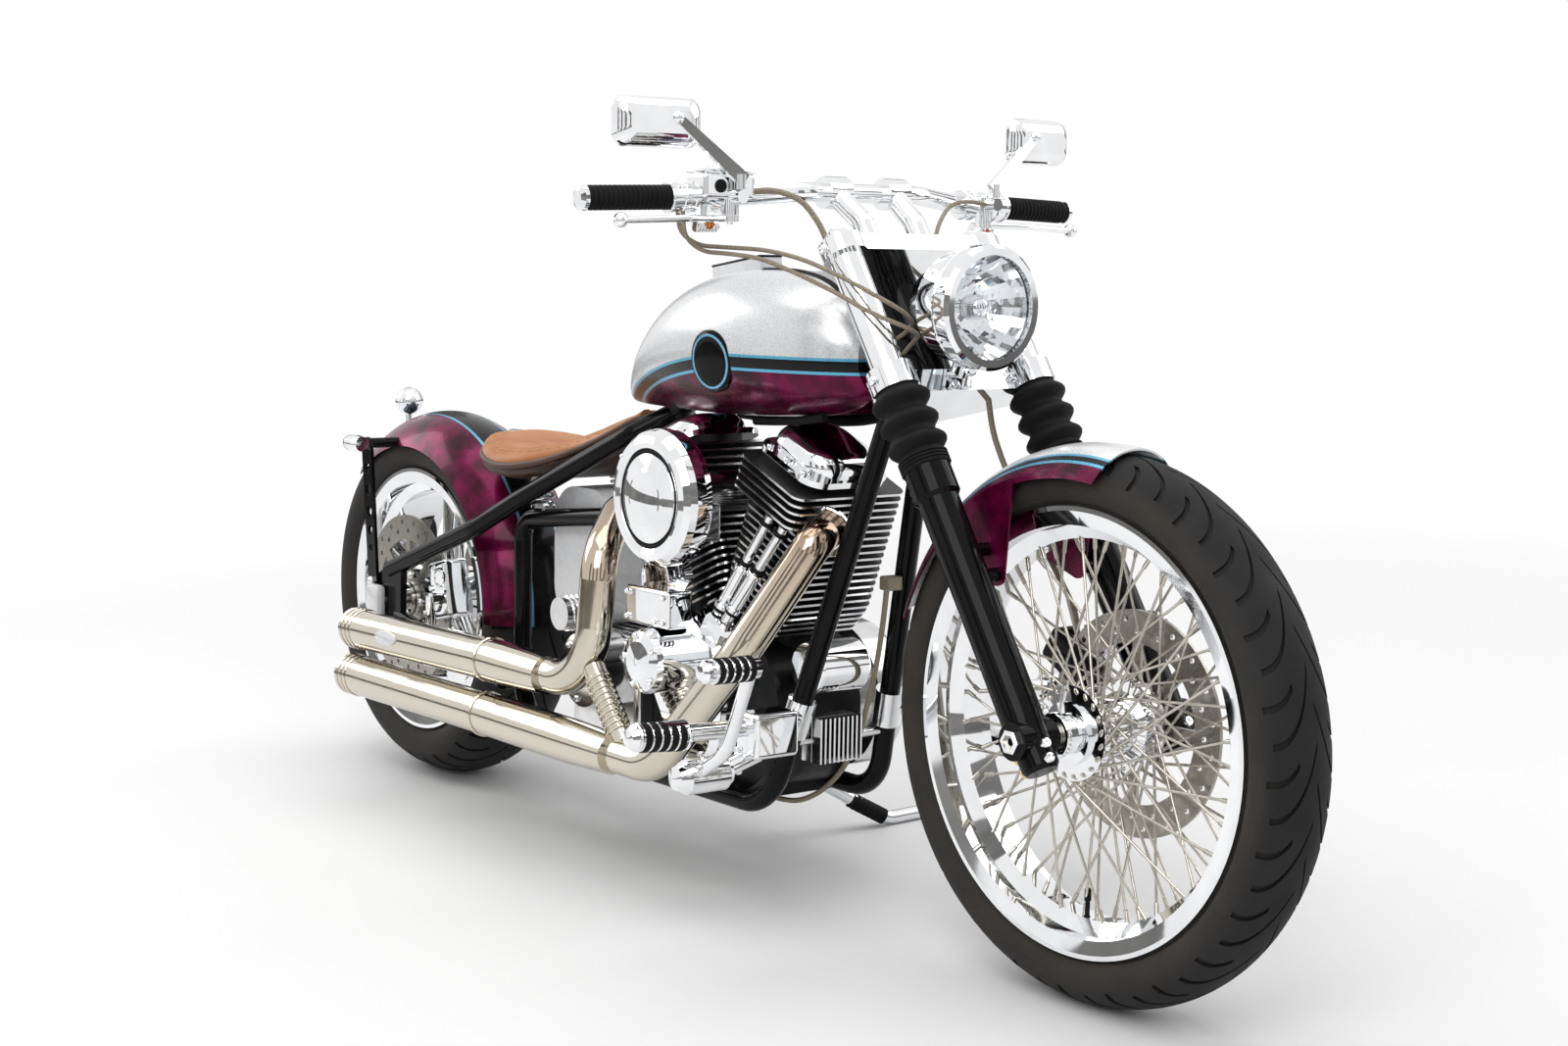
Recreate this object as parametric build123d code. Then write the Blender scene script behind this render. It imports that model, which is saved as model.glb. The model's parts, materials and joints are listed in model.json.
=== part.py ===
from build123d import *
import math
import os
from collections import namedtuple

# Driving dimensions in millimetres and degrees. The bike is drawn upright: x forward, y to its left, z up,
# zero on the ground below the rear axle. PARKED then leans it on its side stand.
WHEELBASE = 1642
RAKE = 33
STEM_OFFSET = 57
LEAN = 4

# Tyres: outer radius, half width, wall height above the rim's lip.
FRONT_RADIUS = 350
FRONT_HALF = 58
FRONT_WALL = 67
REAR_RADIUS = 316
REAR_HALF = 87
REAR_WALL = 84

# Rims: half width to the edge, flange thickness, depth of the bead seat below the lip.
FRONT_EDGE = 50
REAR_EDGE = 75
FLANGE = 8
BEAD_DROP = 18
FRONT_LIP = FRONT_RADIUS - FRONT_WALL
REAR_LIP = REAR_RADIUS - REAR_WALL

# Running fits and small gaps between neighbours.
PIN_GAP = 0.1
SEAT_GAP = 0.3

# Fork, measured up the legs from the front axle.
LEG_SIDE = 120
LEG_RADIUS = 27
LEG_TOP = 374
LOWER_TREE = (490, 522)
UPPER_TREE = (694, 718)
TREE_SET_BACK = 24
TUBE_RADIUS = 23
STEM_RADIUS = 15
NECK_RADIUS = 32
FRONT_AXLE_RADIUS = 9.5
FRONT_AXLE_BORE = 5
FRONT_AXLE_BORE_DEPTH = 45
FRONT_AXLE_HALF = 152

# Frame.
TUBE = 15
RAIL_SIDE = 100
RAIL_Z = 150
POST_X = 381
POST_SIDE = 84
ARM_SIDE = 138
ARM_RADIUS = 13
PIVOT_Z = 235
RAIL_KNEE = Vector(446, 112, 546)
RAIL_JOINT = Vector(348, 130, 495)
BRACE_Z = (497, 530)
BRACE_END = 690

# Engine: crank centre, half angle between the cylinders, stations along a cylinder's axis.
CRANK_X = 945
CRANK_Z = 275
CRANK_PLATE = 24
CRANK_PLATE_Z = 150
BANK = 22.5
BARREL = (140, 290)
HEAD_TOP = 395
ROCKER_TOP = 436
ROCKER_SIDE = -20
ROCKER_LIP = 9
FIN_HALF = 76
CAM_X = 902
CAM_Z = 345
CLEANER_X = 940
CLEANER_Z = 592
CLEANER_RADIUS = 99

# Exhaust.
HEADER_RADIUS = 27
SLEEVE_RADIUS = 30
MUFFLER_RADIUS = 34
MUFFLER_BORE = 30
MUFFLER_END = 44
PIPE_WALL = 3
CROSSOVER_RADIUS = 17
ExhaustRun = namedtuple("ExhaustRun", "corners bends sleeve end_z")
EXHAUST_RUNS = (
    ExhaustRun(
        corners=((1145, -44, 556), (1168, -90, 541), (1108, -168, 386), (966, -216, 204), (511, -222, 205)),
        bends=[24, 120, 70], sleeve=360, end_z=202),
    ExhaustRun(
        corners=((744, -44, 556), (710, -108, 546), (788, -196, 490), (780, -208, 293), (511, -214, 291)),
        bends=[34, 60, 92], sleeve=160, end_z=281),
)

# Rear end.
REAR_AXLE_RADIUS = 10
FENDER_CREST = REAR_RADIUS + 16
FENDER_EDGE = REAR_RADIUS - 44
FENDER_HALF = 96
SHEET = 2.5
BELT_SIDE = (100.5, 114.5)
REAR_PULLEY = 140
DRIVE_PULLEY = 60
DRIVE_X = 640
DRIVE_Z = 285

# Side stand.
STAND_PIVOT = Vector(780, 136, 138)
STAND_REACH = Vector(845, 320, 0)
STAND_RADIUS = 11
STAND_TOE = 75

SIN_RAKE = math.sin(math.radians(RAKE))
COS_RAKE = math.cos(math.radians(RAKE))
FORK_UP = Vector(-SIN_RAKE, 0, COS_RAKE)
FORK_AHEAD = Vector(COS_RAKE, 0, SIN_RAKE)
LEFT = Vector(0, 1, 0)
RIGHT = Vector(0, -1, 0)
AHEAD = Vector(1, 0, 0)
UP = Vector(0, 0, 1)
FRONT_AXLE = Vector(WHEELBASE, 0, FRONT_RADIUS)
REAR_AXLE = Vector(0, 0, REAR_RADIUS)

# Crown sagitta of each tyre: how far the shoulder lies inside the outer radius, and its half width.
CROWN = {"front": (22, 50), "rear": (30, 77)}


def crown_radius(end):
    """Radius of a tyre's crown arc."""
    drop, half = CROWN[end]
    return (half * half + drop * drop) / (2 * drop)


GROUND_LIFT = crown_radius("rear") * (1 - math.cos(math.radians(LEAN)))


def ground_height(side, clearance):
    """Height, in the upright bike, of a point that hangs this far above the ground when parked."""
    slope = math.radians(LEAN)
    return (side * math.sin(slope) + clearance - GROUND_LIFT) / math.cos(slope)


def fork_point(up, side=0.0, ahead=0.0):
    """Point given along the fork: up the legs from the axle, sideways, and ahead of the legs."""
    return FRONT_AXLE + FORK_UP * up + LEFT * side + FORK_AHEAD * ahead


def stem_point(up):
    """Point on the steering axis."""
    return fork_point(up, 0, -STEM_OFFSET)


# Handlebar, mirrors and lamp, set out from the top of the stem.
STEM_TOP = stem_point(UPPER_TREE[1])
BAR_RADIUS = 12.7
BAR_END = STEM_TOP + Vector(-103, 428, 83)
BAR_KNEE = STEM_TOP + Vector(-97, 205, 90)
BAR_SHOULDER = STEM_TOP + Vector(-55, 100, 99)
PERCH = 202
BAR_CAP = 8
GRIP_RADIUS = 17
GRIP_LENGTH = 128
LEVER_BALL = STEM_TOP + Vector(-56, 399, 55)
MIRROR_CENTRE = STEM_TOP + Vector(-72, 336, 183)
MIRROR_SIZE = (128, 66, 22)
MIRROR_TURN = 7
LAMP_CENTRE = fork_point(561.4, 0, 90.3)
LAMP_RADIUS = 82

# Forward controls.
PEG_END = Vector(1196, 417, 306)

ORIGIN_X = (WHEELBASE + FRONT_RADIUS - REAR_RADIUS) / 2
LEAN_SIN = math.sin(math.radians(LEAN))
LEAN_COS = math.cos(math.radians(LEAN))
LEFT_EDGE = (BAR_END.Y + BAR_CAP) * LEAN_COS + BAR_END.Z * LEAN_SIN
RIGHT_EDGE = -PEG_END.Y * LEAN_COS + PEG_END.Z * LEAN_SIN
ORIGIN_Y = (LEFT_EDGE + RIGHT_EDGE) / 2
PARKED = Location((-ORIGIN_X, -ORIGIN_Y, GROUND_LIFT), (-LEAN, 0, 0))


def cylinder_point(bank, along, out=0.0, side=0.0):
    """Point given along a cylinder's axis; bank is 1 for the front cylinder and -1 for the rear."""
    tilt = math.radians(BANK)
    x = CRANK_X + bank * (along * math.sin(tilt) + out * math.cos(tilt))
    z = CRANK_Z + along * math.cos(tilt) - out * math.sin(tilt)
    return Vector(x, side, z)


def cylinder_axis(bank):
    """Unit vector up a cylinder."""
    return Vector(bank * math.sin(math.radians(BANK)), 0, math.cos(math.radians(BANK)))


def cylinder_plane(bank, along):
    """Plane across a cylinder, its x axis pointing forward and its y axis to the left."""
    tilt = math.radians(BANK)
    cross = Vector(math.cos(tilt), 0, -bank * math.sin(tilt))
    return Plane(origin=cylinder_point(bank, along), x_dir=cross, z_dir=cylinder_axis(bank))


def rod(start, end, radius):
    """Round bar between two points."""
    start, end = Vector(start), Vector(end)
    return extrude(Plane(origin=start, z_dir=end - start) * Circle(radius), amount=(end - start).length)


def ring(start, end, radius, hole):
    """Round tube between two points."""
    start, end = Vector(start), Vector(end)
    face = Plane(origin=start, z_dir=end - start) * (Circle(radius) - Circle(hole))
    return extrude(face, amount=(end - start).length)


def turned(profile, at, along):
    """Solid of revolution from (radius, height) points about the line through a point."""
    outline = Polyline(*[(radius, 0, height) for radius, height in profile], close=True)
    return Plane(origin=at, z_dir=along) * revolve(make_face(outline), Axis.Z)


def ball(centre, radius):
    """Sphere at a point."""
    return Pos(*centre) * Sphere(radius)


def pipe(points, bends, radius, hole=0.0):
    """Round bar or tube swept along straight runs with rounded corners."""
    path = FilletPolyline(*points, radius=bends)
    face = Circle(radius) - Circle(hole) if hole else Circle(radius)
    return sweep(Plane(origin=path @ 0, z_dir=path % 0) * face, path=path)


def block(centre, size, edge):
    """Box with all its edges rounded."""
    solid = Box(*size)
    return Pos(*centre) * fillet(solid.edges(), edge)


def other_side(solid):
    """Mirror image on the other side of the bike."""
    return mirror(solid, about=Plane.XZ)


def pair(solid):
    """A solid and its mirror image, as one node of two solids."""
    return Compound(children=solid.solids() + other_side(solid).solids())


def around_axle(face, axle, start, sweep_angle):
    """Part ring about an axle: a (radius, height) face turned from a start angle above the forward line."""
    shell = revolve(face, Axis.Z, revolution_arc=sweep_angle)
    return Plane(origin=axle, x_dir=AHEAD, z_dir=RIGHT) * (Rot(0, 0, start) * shell)


def front_tyre():
    """Front tyre, open towards the rim."""
    return tyre(FRONT_AXLE, FRONT_RADIUS, FRONT_HALF, FRONT_LIP, FRONT_EDGE, CROWN["front"])


def rear_tyre():
    """Rear tyre, open towards the rim."""
    return tyre(REAR_AXLE, REAR_RADIUS, REAR_HALF, REAR_LIP, REAR_EDGE, CROWN["rear"])


def tyre(axle, radius, half, lip, edge, crown):
    """Ring with a crown arc and two bulged walls."""
    drop, shoulder = crown
    bead = edge - FLANGE - SEAT_GAP
    foot, widest = lip - BEAD_DROP + SEAT_GAP, lip + 24
    outer = [
        Line((foot, 0, -bead), (lip + 2, 0, -bead)),
        ThreePointArc((lip + 2, 0, -bead), (widest, 0, -half), (radius - drop, 0, -shoulder)),
        ThreePointArc((radius - drop, 0, -shoulder), (radius, 0, 0), (radius - drop, 0, shoulder)),
        ThreePointArc((radius - drop, 0, shoulder), (widest, 0, half), (lip + 2, 0, bead)),
        Line((lip + 2, 0, bead), (foot, 0, bead)),
        Polyline(
            (foot, 0, bead),
            (foot, 0, bead - 12),
            (widest, 0, half - 10),
            (radius - drop - 8, 0, shoulder - 8),
            (radius - 12, 0, 0),
            (radius - drop - 8, 0, 8 - shoulder),
            (widest, 0, 10 - half),
            (foot, 0, 12 - bead),
            (foot, 0, -bead),
        ),
    ]
    return Plane(origin=axle, z_dir=LEFT) * revolve(make_face(outer), Axis.Z)


def rim_profile(lip, edge, well_drop, well_half, sheet):
    """Half section points of a drop-centre rim, from one lip to the other."""
    seat, well = lip - BEAD_DROP, lip - well_drop
    outside = [(lip, edge - FLANGE), (seat, edge - FLANGE), (seat, well_half + 10), (well, well_half)]
    inside = [(well - sheet, well_half), (seat - sheet, well_half + 10)]
    inside += [(seat - sheet, edge - 4), (lip - 6, edge)]
    top = [(lip, -edge)] + [(r, -h) for r, h in outside]
    top += [(r, h) for r, h in reversed(outside)] + [(lip, edge)]
    low = list(reversed(inside)) + [(r, -h) for r, h in inside]
    return top + low


def front_rim():
    """Drop-centre rim of the wire wheel."""
    return turned(rim_profile(FRONT_LIP, FRONT_EDGE, 36, 15, 6), FRONT_AXLE, LEFT)


HUB_FLANGE = 60
HUB_FLANGE_SIDE = 46


def front_hub():
    """Stepped hub with two spoke flanges and a disc seat on the left."""
    bore = FRONT_AXLE_RADIUS + PIN_GAP
    profile = [
        (bore, -80), (22, -80), (26, -74), (26, -62), (40, -60), (40, -53), (HUB_FLANGE, -51),
        (HUB_FLANGE, -41), (44, -38), (36, -30), (36, 30), (44, 38), (HUB_FLANGE, 41),
        (HUB_FLANGE, 51), (46, 53), (46, 60), (26, 60), (26, 74), (22, 80), (bore, 80),
    ]
    return turned(profile, FRONT_AXLE, LEFT)


SPOKE_COUNT = 80
SPOKE_RADIUS = 2.2
SPOKE_SWEEP = 52
SpokeSet = namedtuple("SpokeSet", "side hub_out rim_out turn")
SPOKE_SETS = (
    SpokeSet(side=1, hub_out=4, rim_out=13, turn=1),
    SpokeSet(side=1, hub_out=-4, rim_out=7, turn=-1),
    SpokeSet(side=-1, hub_out=4, rim_out=13, turn=1),
    SpokeSet(side=-1, hub_out=-4, rim_out=7, turn=-1),
)


def wheel_point(axle, radius, angle, side):
    """Point on a wheel, with its angle in degrees above the forward line."""
    turn = math.radians(angle)
    return axle + Vector(radius * math.cos(turn), side, radius * math.sin(turn))


def front_spokes():
    """Crossing spokes: four sets, each leaning the other way from its neighbour."""
    spokes = []
    each = SPOKE_COUNT // len(SPOKE_SETS)
    for index, row in enumerate(SPOKE_SETS):
        for number in range(each):
            angle = (number + index / len(SPOKE_SETS)) * 360 / each
            hub = wheel_point(FRONT_AXLE, HUB_FLANGE - 6, angle, row.side * (HUB_FLANGE_SIDE + row.hub_out))
            lean = angle + row.turn * SPOKE_SWEEP
            rim = wheel_point(FRONT_AXLE, FRONT_LIP - 40, lean, row.side * row.rim_out)
            spokes += rod(hub, rim, SPOKE_RADIUS).solids()
    return Compound(children=spokes)


def brake_disc(axle, side, thick, outer, inner, seat, hole, arms):
    """Drilled disc on a windowed carrier."""
    face = Circle(outer) - Circle(inner)
    face += Circle(seat) - Circle(hole)
    for number in range(arms):
        arm = Pos((seat + inner) / 2, 0) * Rectangle(inner - seat + 12, 15)
        face += Rot(0, 0, number * 360 / arms) * arm
    for row in range(2):
        reach = inner + (outer - inner) * (0.36 + 0.36 * row)
        for number in range(20):
            face -= Rot(0, 0, (number + 0.5 * row) * 18) * Pos(reach, 0) * Circle(4)
    return extrude(Plane(origin=axle + LEFT * side, z_dir=LEFT) * face, amount=thick)


def front_disc():
    """Front brake disc, on the left."""
    return brake_disc(FRONT_AXLE, 60, 5, 146, 104, 52, 27, 8)


def rear_disc():
    """Rear brake disc, on the right."""
    return brake_disc(REAR_AXLE, -92, 5, 150, 106, 54, 32, 8)


def rear_rim():
    """Rear wheel: barrel, five spokes and hub in one casting."""
    bore = REAR_AXLE_RADIUS + PIN_GAP
    barrel = turned(rim_profile(REAR_LIP, REAR_EDGE, 34, 40, 7), REAR_AXLE, LEFT)
    hub = turned([(bore, -100), (30, -100), (30, -87), (52, -87), (52, 87), (30, 87), (30, 122), (bore, 122)],
                 REAR_AXLE, LEFT)
    wheel = barrel + hub
    for number in range(5):
        angle = 18 + number * 72
        arm = rod(wheel_point(REAR_AXLE, 45, angle, 0), wheel_point(REAR_AXLE, REAR_LIP - 36, angle, 0), 19)
        wheel += arm
    return wheel


def rear_pulley():
    """Belt pulley on the left of the rear wheel."""
    face = Circle(REAR_PULLEY) - Circle(112)
    face += Circle(62) - Circle(31)
    for number in range(5):
        face += Rot(0, 0, number * 72) * Pos(88, 0) * Rectangle(64, 30)
    return extrude(Plane(origin=REAR_AXLE + LEFT * (BELT_SIDE[0] - 2), z_dir=LEFT) * face,
                   amount=BELT_SIDE[1] - BELT_SIDE[0] + 4)


def belt_outline(grow):
    """Outline round both pulleys."""
    rear = Pos(0, REAR_RADIUS) * Circle(REAR_PULLEY + grow)
    drive = Pos(DRIVE_X, DRIVE_Z) * Circle(DRIVE_PULLEY + grow)
    return make_hull(rear.edges() + drive.edges())


def drive_belt():
    """One fixed loop round the two pulleys."""
    loop = belt_outline(5) - belt_outline(0.5)
    face = Plane(origin=LEFT * BELT_SIDE[1], x_dir=AHEAD, z_dir=RIGHT) * loop
    return extrude(face, amount=BELT_SIDE[1] - BELT_SIDE[0])


def tree(span, reach, hub, hole, set_back):
    """Triple-tree slab: two fork clamps and the stem boss."""
    low, high = span
    edges = (Pos(-STEM_OFFSET, 0) * Circle(hub)).edges()
    for side in (-1, 1):
        edges += (Pos(-set_back, side * (LEG_SIDE - 8)) * Circle(reach - 8)).edges()
    outline = make_hull(edges)
    for side in (-1, 1):
        outline += Pos(0, side * LEG_SIDE) * Circle(reach)
    for side in (-1, 1):
        outline -= Pos(0, side * LEG_SIDE) * Circle(TUBE_RADIUS + PIN_GAP)
    if hole:
        outline -= Pos(-STEM_OFFSET, 0) * Circle(hole)
    plane = Plane(origin=fork_point(low), x_dir=FORK_AHEAD, z_dir=FORK_UP)
    return extrude(plane * outline, amount=high - low)


def lower_tree():
    """Lower tree with the stem and the lamp's post."""
    slab = tree(LOWER_TREE, 32, 34, 0, TREE_SET_BACK)
    stem = rod(stem_point(LOWER_TREE[0]), stem_point(UPPER_TREE[1] + 10), STEM_RADIUS)
    post = rod(fork_point(505, 0, -24), LAMP_CENTRE + Vector(-42, 0, -60), 11)
    return slab + stem + (post - headlight_body())


def upper_tree():
    """Upper tree with its stem nut."""
    slab = tree(UPPER_TREE, 31, 32, STEM_RADIUS + PIN_GAP, 0)
    nut = ring(stem_point(UPPER_TREE[1]), stem_point(UPPER_TREE[1] + 14), 24, STEM_RADIUS + PIN_GAP)
    return slab + nut


def fork_tubes():
    """Two upper tubes with caps."""
    profile = [(0, LEG_TOP), (TUBE_RADIUS, LEG_TOP), (TUBE_RADIUS, 724), (18, 730), (0, 732)]
    return pair(turned(profile, fork_point(0, -LEG_SIDE), FORK_UP))


def fork_gaiters():
    """Two bellows between the legs and the lower tree."""
    inner = TUBE_RADIUS + PIN_GAP
    low, high = LEG_TOP, LOWER_TREE[0]
    collar, folds = 20, 3
    pitch = (high - low - collar) / folds
    profile = [(inner, low), (33, low), (33, low + collar)]
    for fold in range(folds):
        start = low + collar + fold * pitch
        profile += [(29, start + 2), (40, start + pitch * 0.5 - 3), (40, start + pitch * 0.5 + 3)]
    profile += [(30, high), (inner, high)]
    return pair(turned(profile, fork_point(0, -LEG_SIDE), FORK_UP))


def fork_lowers():
    """Two lower legs with axle clamps and fender spacers."""
    profile = [(0, -44), (20, -44), (24, -38), (LEG_RADIUS, 30), (LEG_RADIUS, 330)]
    profile += [(31, 336), (31, LEG_TOP), (0, LEG_TOP)]
    leg = turned(profile, fork_point(0, -LEG_SIDE), FORK_UP)
    clamp = rod(fork_point(0, -150), fork_point(0, -91), 24)
    leg = leg + clamp
    for up in FENDER_SPACERS:
        leg += rod(fork_point(up, -LEG_SIDE), fork_point(up, -FRONT_FENDER_HALF - SEAT_GAP), 9)
    leg -= rod(fork_point(0, -160), fork_point(0, -80), FRONT_AXLE_RADIUS + PIN_GAP)
    return pair(leg)


def front_axle():
    """Axle with bored ends and the spacers that centre the hub."""
    half = FRONT_AXLE_HALF
    axle = rod(FRONT_AXLE + RIGHT * half, FRONT_AXLE + LEFT * half, FRONT_AXLE_RADIUS)
    for side in (-1, 1):
        axle += rod(FRONT_AXLE + LEFT * side * 80.5, FRONT_AXLE + LEFT * side * 90.8, 17)
    for side in (-1, 1):
        mouth = FRONT_AXLE + LEFT * side * half
        axle -= rod(mouth, mouth - LEFT * side * FRONT_AXLE_BORE_DEPTH, FRONT_AXLE_BORE)
    return axle


FENDER_SPACERS = (222, 258)
FRONT_FENDER_HALF = 72
FRONT_FENDER_CREST = FRONT_RADIUS + 10
FRONT_FENDER_EDGE = FRONT_RADIUS - 32
FRONT_FENDER_SPAN = (82, 161)


def fender_face(crest, edge, half):
    """Section of an arched sheet, as a (radius, height) face."""
    outer = ThreePointArc((edge, 0, -half), (crest, 0, 0), (edge, 0, half))
    inner = ThreePointArc((edge, 0, SHEET - half), (crest - SHEET, 0, 0), (edge, 0, half - SHEET))
    sides = [Line(outer @ 0, inner @ 0), Line(outer @ 1, inner @ 1)]
    return make_face([outer, inner] + sides)


def front_fender():
    """Short fender close over the front tyre."""
    start, end = FRONT_FENDER_SPAN
    face = fender_face(FRONT_FENDER_CREST, FRONT_FENDER_EDGE, FRONT_FENDER_HALF)
    shell = around_axle(face, FRONT_AXLE, start, end - start)
    corners = [fork_point(up) for up in FENDER_SPACERS]
    corners += [wheel_point(FRONT_AXLE, FRONT_FENDER_EDGE + 6, angle, 0) for angle in (110, 136)]
    edges = ShapeList()
    for corner in corners:
        edges += (Pos(corner.X, corner.Z) * Circle(15)).edges()
    ear = make_hull(edges) - Pos(FRONT_AXLE.X, FRONT_AXLE.Z) * (Circle(400) - Circle(FRONT_FENDER_EDGE + 8))
    for side in (-1, 1):
        face = side * FRONT_FENDER_HALF + (SHEET if side < 0 else 0)
        shell += extrude(Plane(origin=LEFT * face, x_dir=AHEAD, z_dir=RIGHT) * ear, amount=SHEET)
    return shell


REAR_FENDER_SPAN = (-2, 130)


def rear_fender():
    """Fender round the rear tyre."""
    start, end = REAR_FENDER_SPAN
    return around_axle(fender_face(FENDER_CREST, FENDER_EDGE, FENDER_HALF), REAR_AXLE, start, end - start)


def headlight_body():
    """Closed outline of the lamp shell, used to seat its post."""
    profile = [(0, -112), (30, -110), (55, -92), (72, -60), (78, -20), (LAMP_RADIUS, -14), (LAMP_RADIUS, 2),
               (76, 8), (0, 8)]
    return turned(profile, LAMP_CENTRE, AHEAD)


def headlight():
    """Lamp shell and bezel, hollow behind the lens."""
    hollow = [(0, -60), (40, -48), (60, -20), (70, 0), (70, 9), (0, 9)]
    return headlight_body() - turned(hollow, LAMP_CENTRE, AHEAD)


def headlight_lens():
    """Domed glass in the bezel."""
    return turned([(0, 2), (69.7, 0), (69.7, 5), (40, 11), (0, 13)], LAMP_CENTRE, AHEAD)


def bar_rod(radius):
    """The bare bar from end to end."""
    left = [BAR_SHOULDER, BAR_KNEE, BAR_END]
    right = [Vector(p.X, -p.Y, p.Z) for p in reversed(left)]
    return pipe(right + left, [70, 70, 70, 70], radius)


def handlebar():
    """Bar with risers, clamps and end caps."""
    bar = bar_rod(BAR_RADIUS)
    for side in (-1, 1):
        foot = fork_point(UPPER_TREE[1], side * 46, -22)
        rise = foot + FORK_UP * 48
        top = Vector(BAR_SHOULDER.X, side * 52, BAR_SHOULDER.Z)
        bar += pipe([foot, rise, top], [30], 15)
        bar += rod(top + RIGHT * 19, top + LEFT * 19, 22)
        end = Vector(BAR_END.X, side * BAR_END.Y, BAR_END.Z)
        out = grip_axis(side)
        bar += turned([(0, -2), (GRIP_RADIUS, -2), (GRIP_RADIUS, 4), (10, BAR_CAP), (0, BAR_CAP)], end, out)
    return bar


def grip_axis(side):
    """Unit vector outward along a grip."""
    along = (BAR_END - BAR_KNEE).normalized()
    return Vector(along.X, side * along.Y, along.Z)


def bar_point(side, from_end, ahead=0.0, up=0.0):
    """Point on the straight outer part of the bar, counted inward from its end."""
    end = Vector(BAR_END.X, side * BAR_END.Y, BAR_END.Z)
    return end - grip_axis(side) * from_end + AHEAD * ahead + UP * up


def grips():
    """Two rubber grips."""
    sleeves = []
    for side in (-1, 1):
        ends = bar_point(side, 2), bar_point(side, GRIP_LENGTH)
        sleeves += ring(*ends, GRIP_RADIUS, BAR_RADIUS + 0.05).solids()
    return Compound(children=sleeves)


def hand_controls():
    """Switch housings, lever perches and the fluid box on the right."""
    housings = []
    bore = bar_rod(BAR_RADIUS + 0.05)
    for side in (-1, 1):
        housing = rod(bar_point(side, GRIP_LENGTH + 0.3), bar_point(side, GRIP_LENGTH + 42), 20)
        perch = rod(bar_point(side, PERCH + 11), bar_point(side, PERCH - 11), 19)
        perch += rod(bar_point(side, PERCH), bar_point(side, PERCH, 46, -6), 13)
        perch += rod(bar_point(side, PERCH, 40), bar_point(side, PERCH, 72), 9)
        perch += rod(bar_point(side, PERCH, 42, -24), bar_point(side, PERCH, 42, 10), 12)
        if side < 0:
            perch += block(bar_point(side, PERCH - 8, 32, 14), (44, 84, 34), 6)
        housings += (housing + perch - bore).solids()
    return Compound(children=housings)


def hand_levers():
    """Two ball-ended levers."""
    levers = []
    for side in (-1, 1):
        hinge = bar_point(side, PERCH, 42, -24.3)
        tip = Vector(LEVER_BALL.X, side * LEVER_BALL.Y, LEVER_BALL.Z)
        elbow = Vector(hinge.X + 12, side * 300, hinge.Z - 6)
        eye = rod(hinge, hinge - UP * 9, 12)
        blade = pipe([hinge - UP * 5, elbow, tip], [14], 4.5)
        levers += (eye + blade + ball(tip, 10)).solids()
    return Compound(children=levers)


def mirrors():
    """Two pillow-backed mirrors on flat tapered arms."""
    wide, tall, deep = MIRROR_SIZE
    sections = []
    for depth, inset, corner in ((0, 0, 18), (0.4 * deep, 5, 17), (deep, 36, 10)):
        plane = Plane(origin=AHEAD * depth, x_dir=LEFT, z_dir=AHEAD)
        sections.append(plane * RectangleRounded(wide - inset, tall - inset, corner))
    head = loft(sections)
    heads = []
    for side in (-1, 1):
        foot = bar_point(side, PERCH, 64, 9.2)
        centre = Vector(MIRROR_CENTRE.X, side * MIRROR_CENTRE.Y, MIRROR_CENTRE.Z)
        joint = centre + Vector(deep, -side * 20, 6)
        knee = foot + UP * 16
        run = joint - knee
        wide_end = Plane(origin=knee - run.normalized() * 8, x_dir=AHEAD, z_dir=run)
        slim_end = Plane(origin=joint, x_dir=AHEAD, z_dir=run)
        arm = loft([wide_end * Rectangle(8, 20), slim_end * Rectangle(7, 12)])
        arm += rod(foot, knee + UP * 4, 8) + ball(joint, 9)
        heads += (arm + Pos(*centre) * (Rot(0, 0, side * MIRROR_TURN) * head)).solids()
    return Compound(children=heads)


def front_caliper():
    """Brake caliper behind the left leg, clear of the disc."""
    centre = wheel_point(FRONT_AXLE, 130, 150, 66)
    body = Pos(*centre) * (Rot(0, -60, 0) * fillet(Box(48, 40, 92).edges(), 8))
    slot = turned([(0, 58.5), (152, 58.5), (152, 66.5), (0, 66.5)], FRONT_AXLE, LEFT)
    lug = rod(wheel_point(FRONT_AXLE, 150, 138, 78), fork_point(130, LEG_SIDE), 10)
    leg = rod(fork_point(-30, LEG_SIDE), fork_point(400, LEG_SIDE), LEG_RADIUS + SEAT_GAP)
    return (body - slot) + (lug - leg)


def frame_spine():
    """Steering neck, backbone and seat rails."""
    neck = rod(stem_point(LOWER_TREE[1] + SEAT_GAP), stem_point(UPPER_TREE[0] - SEAT_GAP), NECK_RADIUS)
    spine = neck + pipe([stem_point(600) + Vector(-22, 0, -27), (790, 0, 758), (700, 0, 690)], [90], 22)
    for side in (-1, 1):
        spine += pipe(
            [
                (706, side * 8, 690),
                (664, side * 66, 652),
                (RAIL_KNEE.X, side * RAIL_KNEE.Y, RAIL_KNEE.Z),
                (RAIL_JOINT.X, side * RAIL_JOINT.Y, RAIL_JOINT.Z),
            ],
            [40, 120],
            TUBE,
        )
    for x in (820, 1120):
        spine += Pos(x, 0, 795) * Box(50, 30, 54)
    return spine - rod(stem_point(500), stem_point(720), STEM_RADIUS + PIN_GAP)


def downtube_points(side):
    """Corners of one cradle tube, from the neck down, back and up the rear post."""
    return [
        stem_point(560) + Vector(-13, side * 24, -2.5),
        Vector(1086, side * (RAIL_SIDE - 1), RAIL_Z + 2),
        Vector(560, side * RAIL_SIDE, RAIL_Z),
        Vector(POST_X, side * POST_SIDE, RAIL_Z + 30),
        Vector(POST_X, side * POST_SIDE, BRACE_Z[0]),
        Vector(BRACE_END, side * POST_SIDE, BRACE_Z[1]),
    ]


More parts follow.
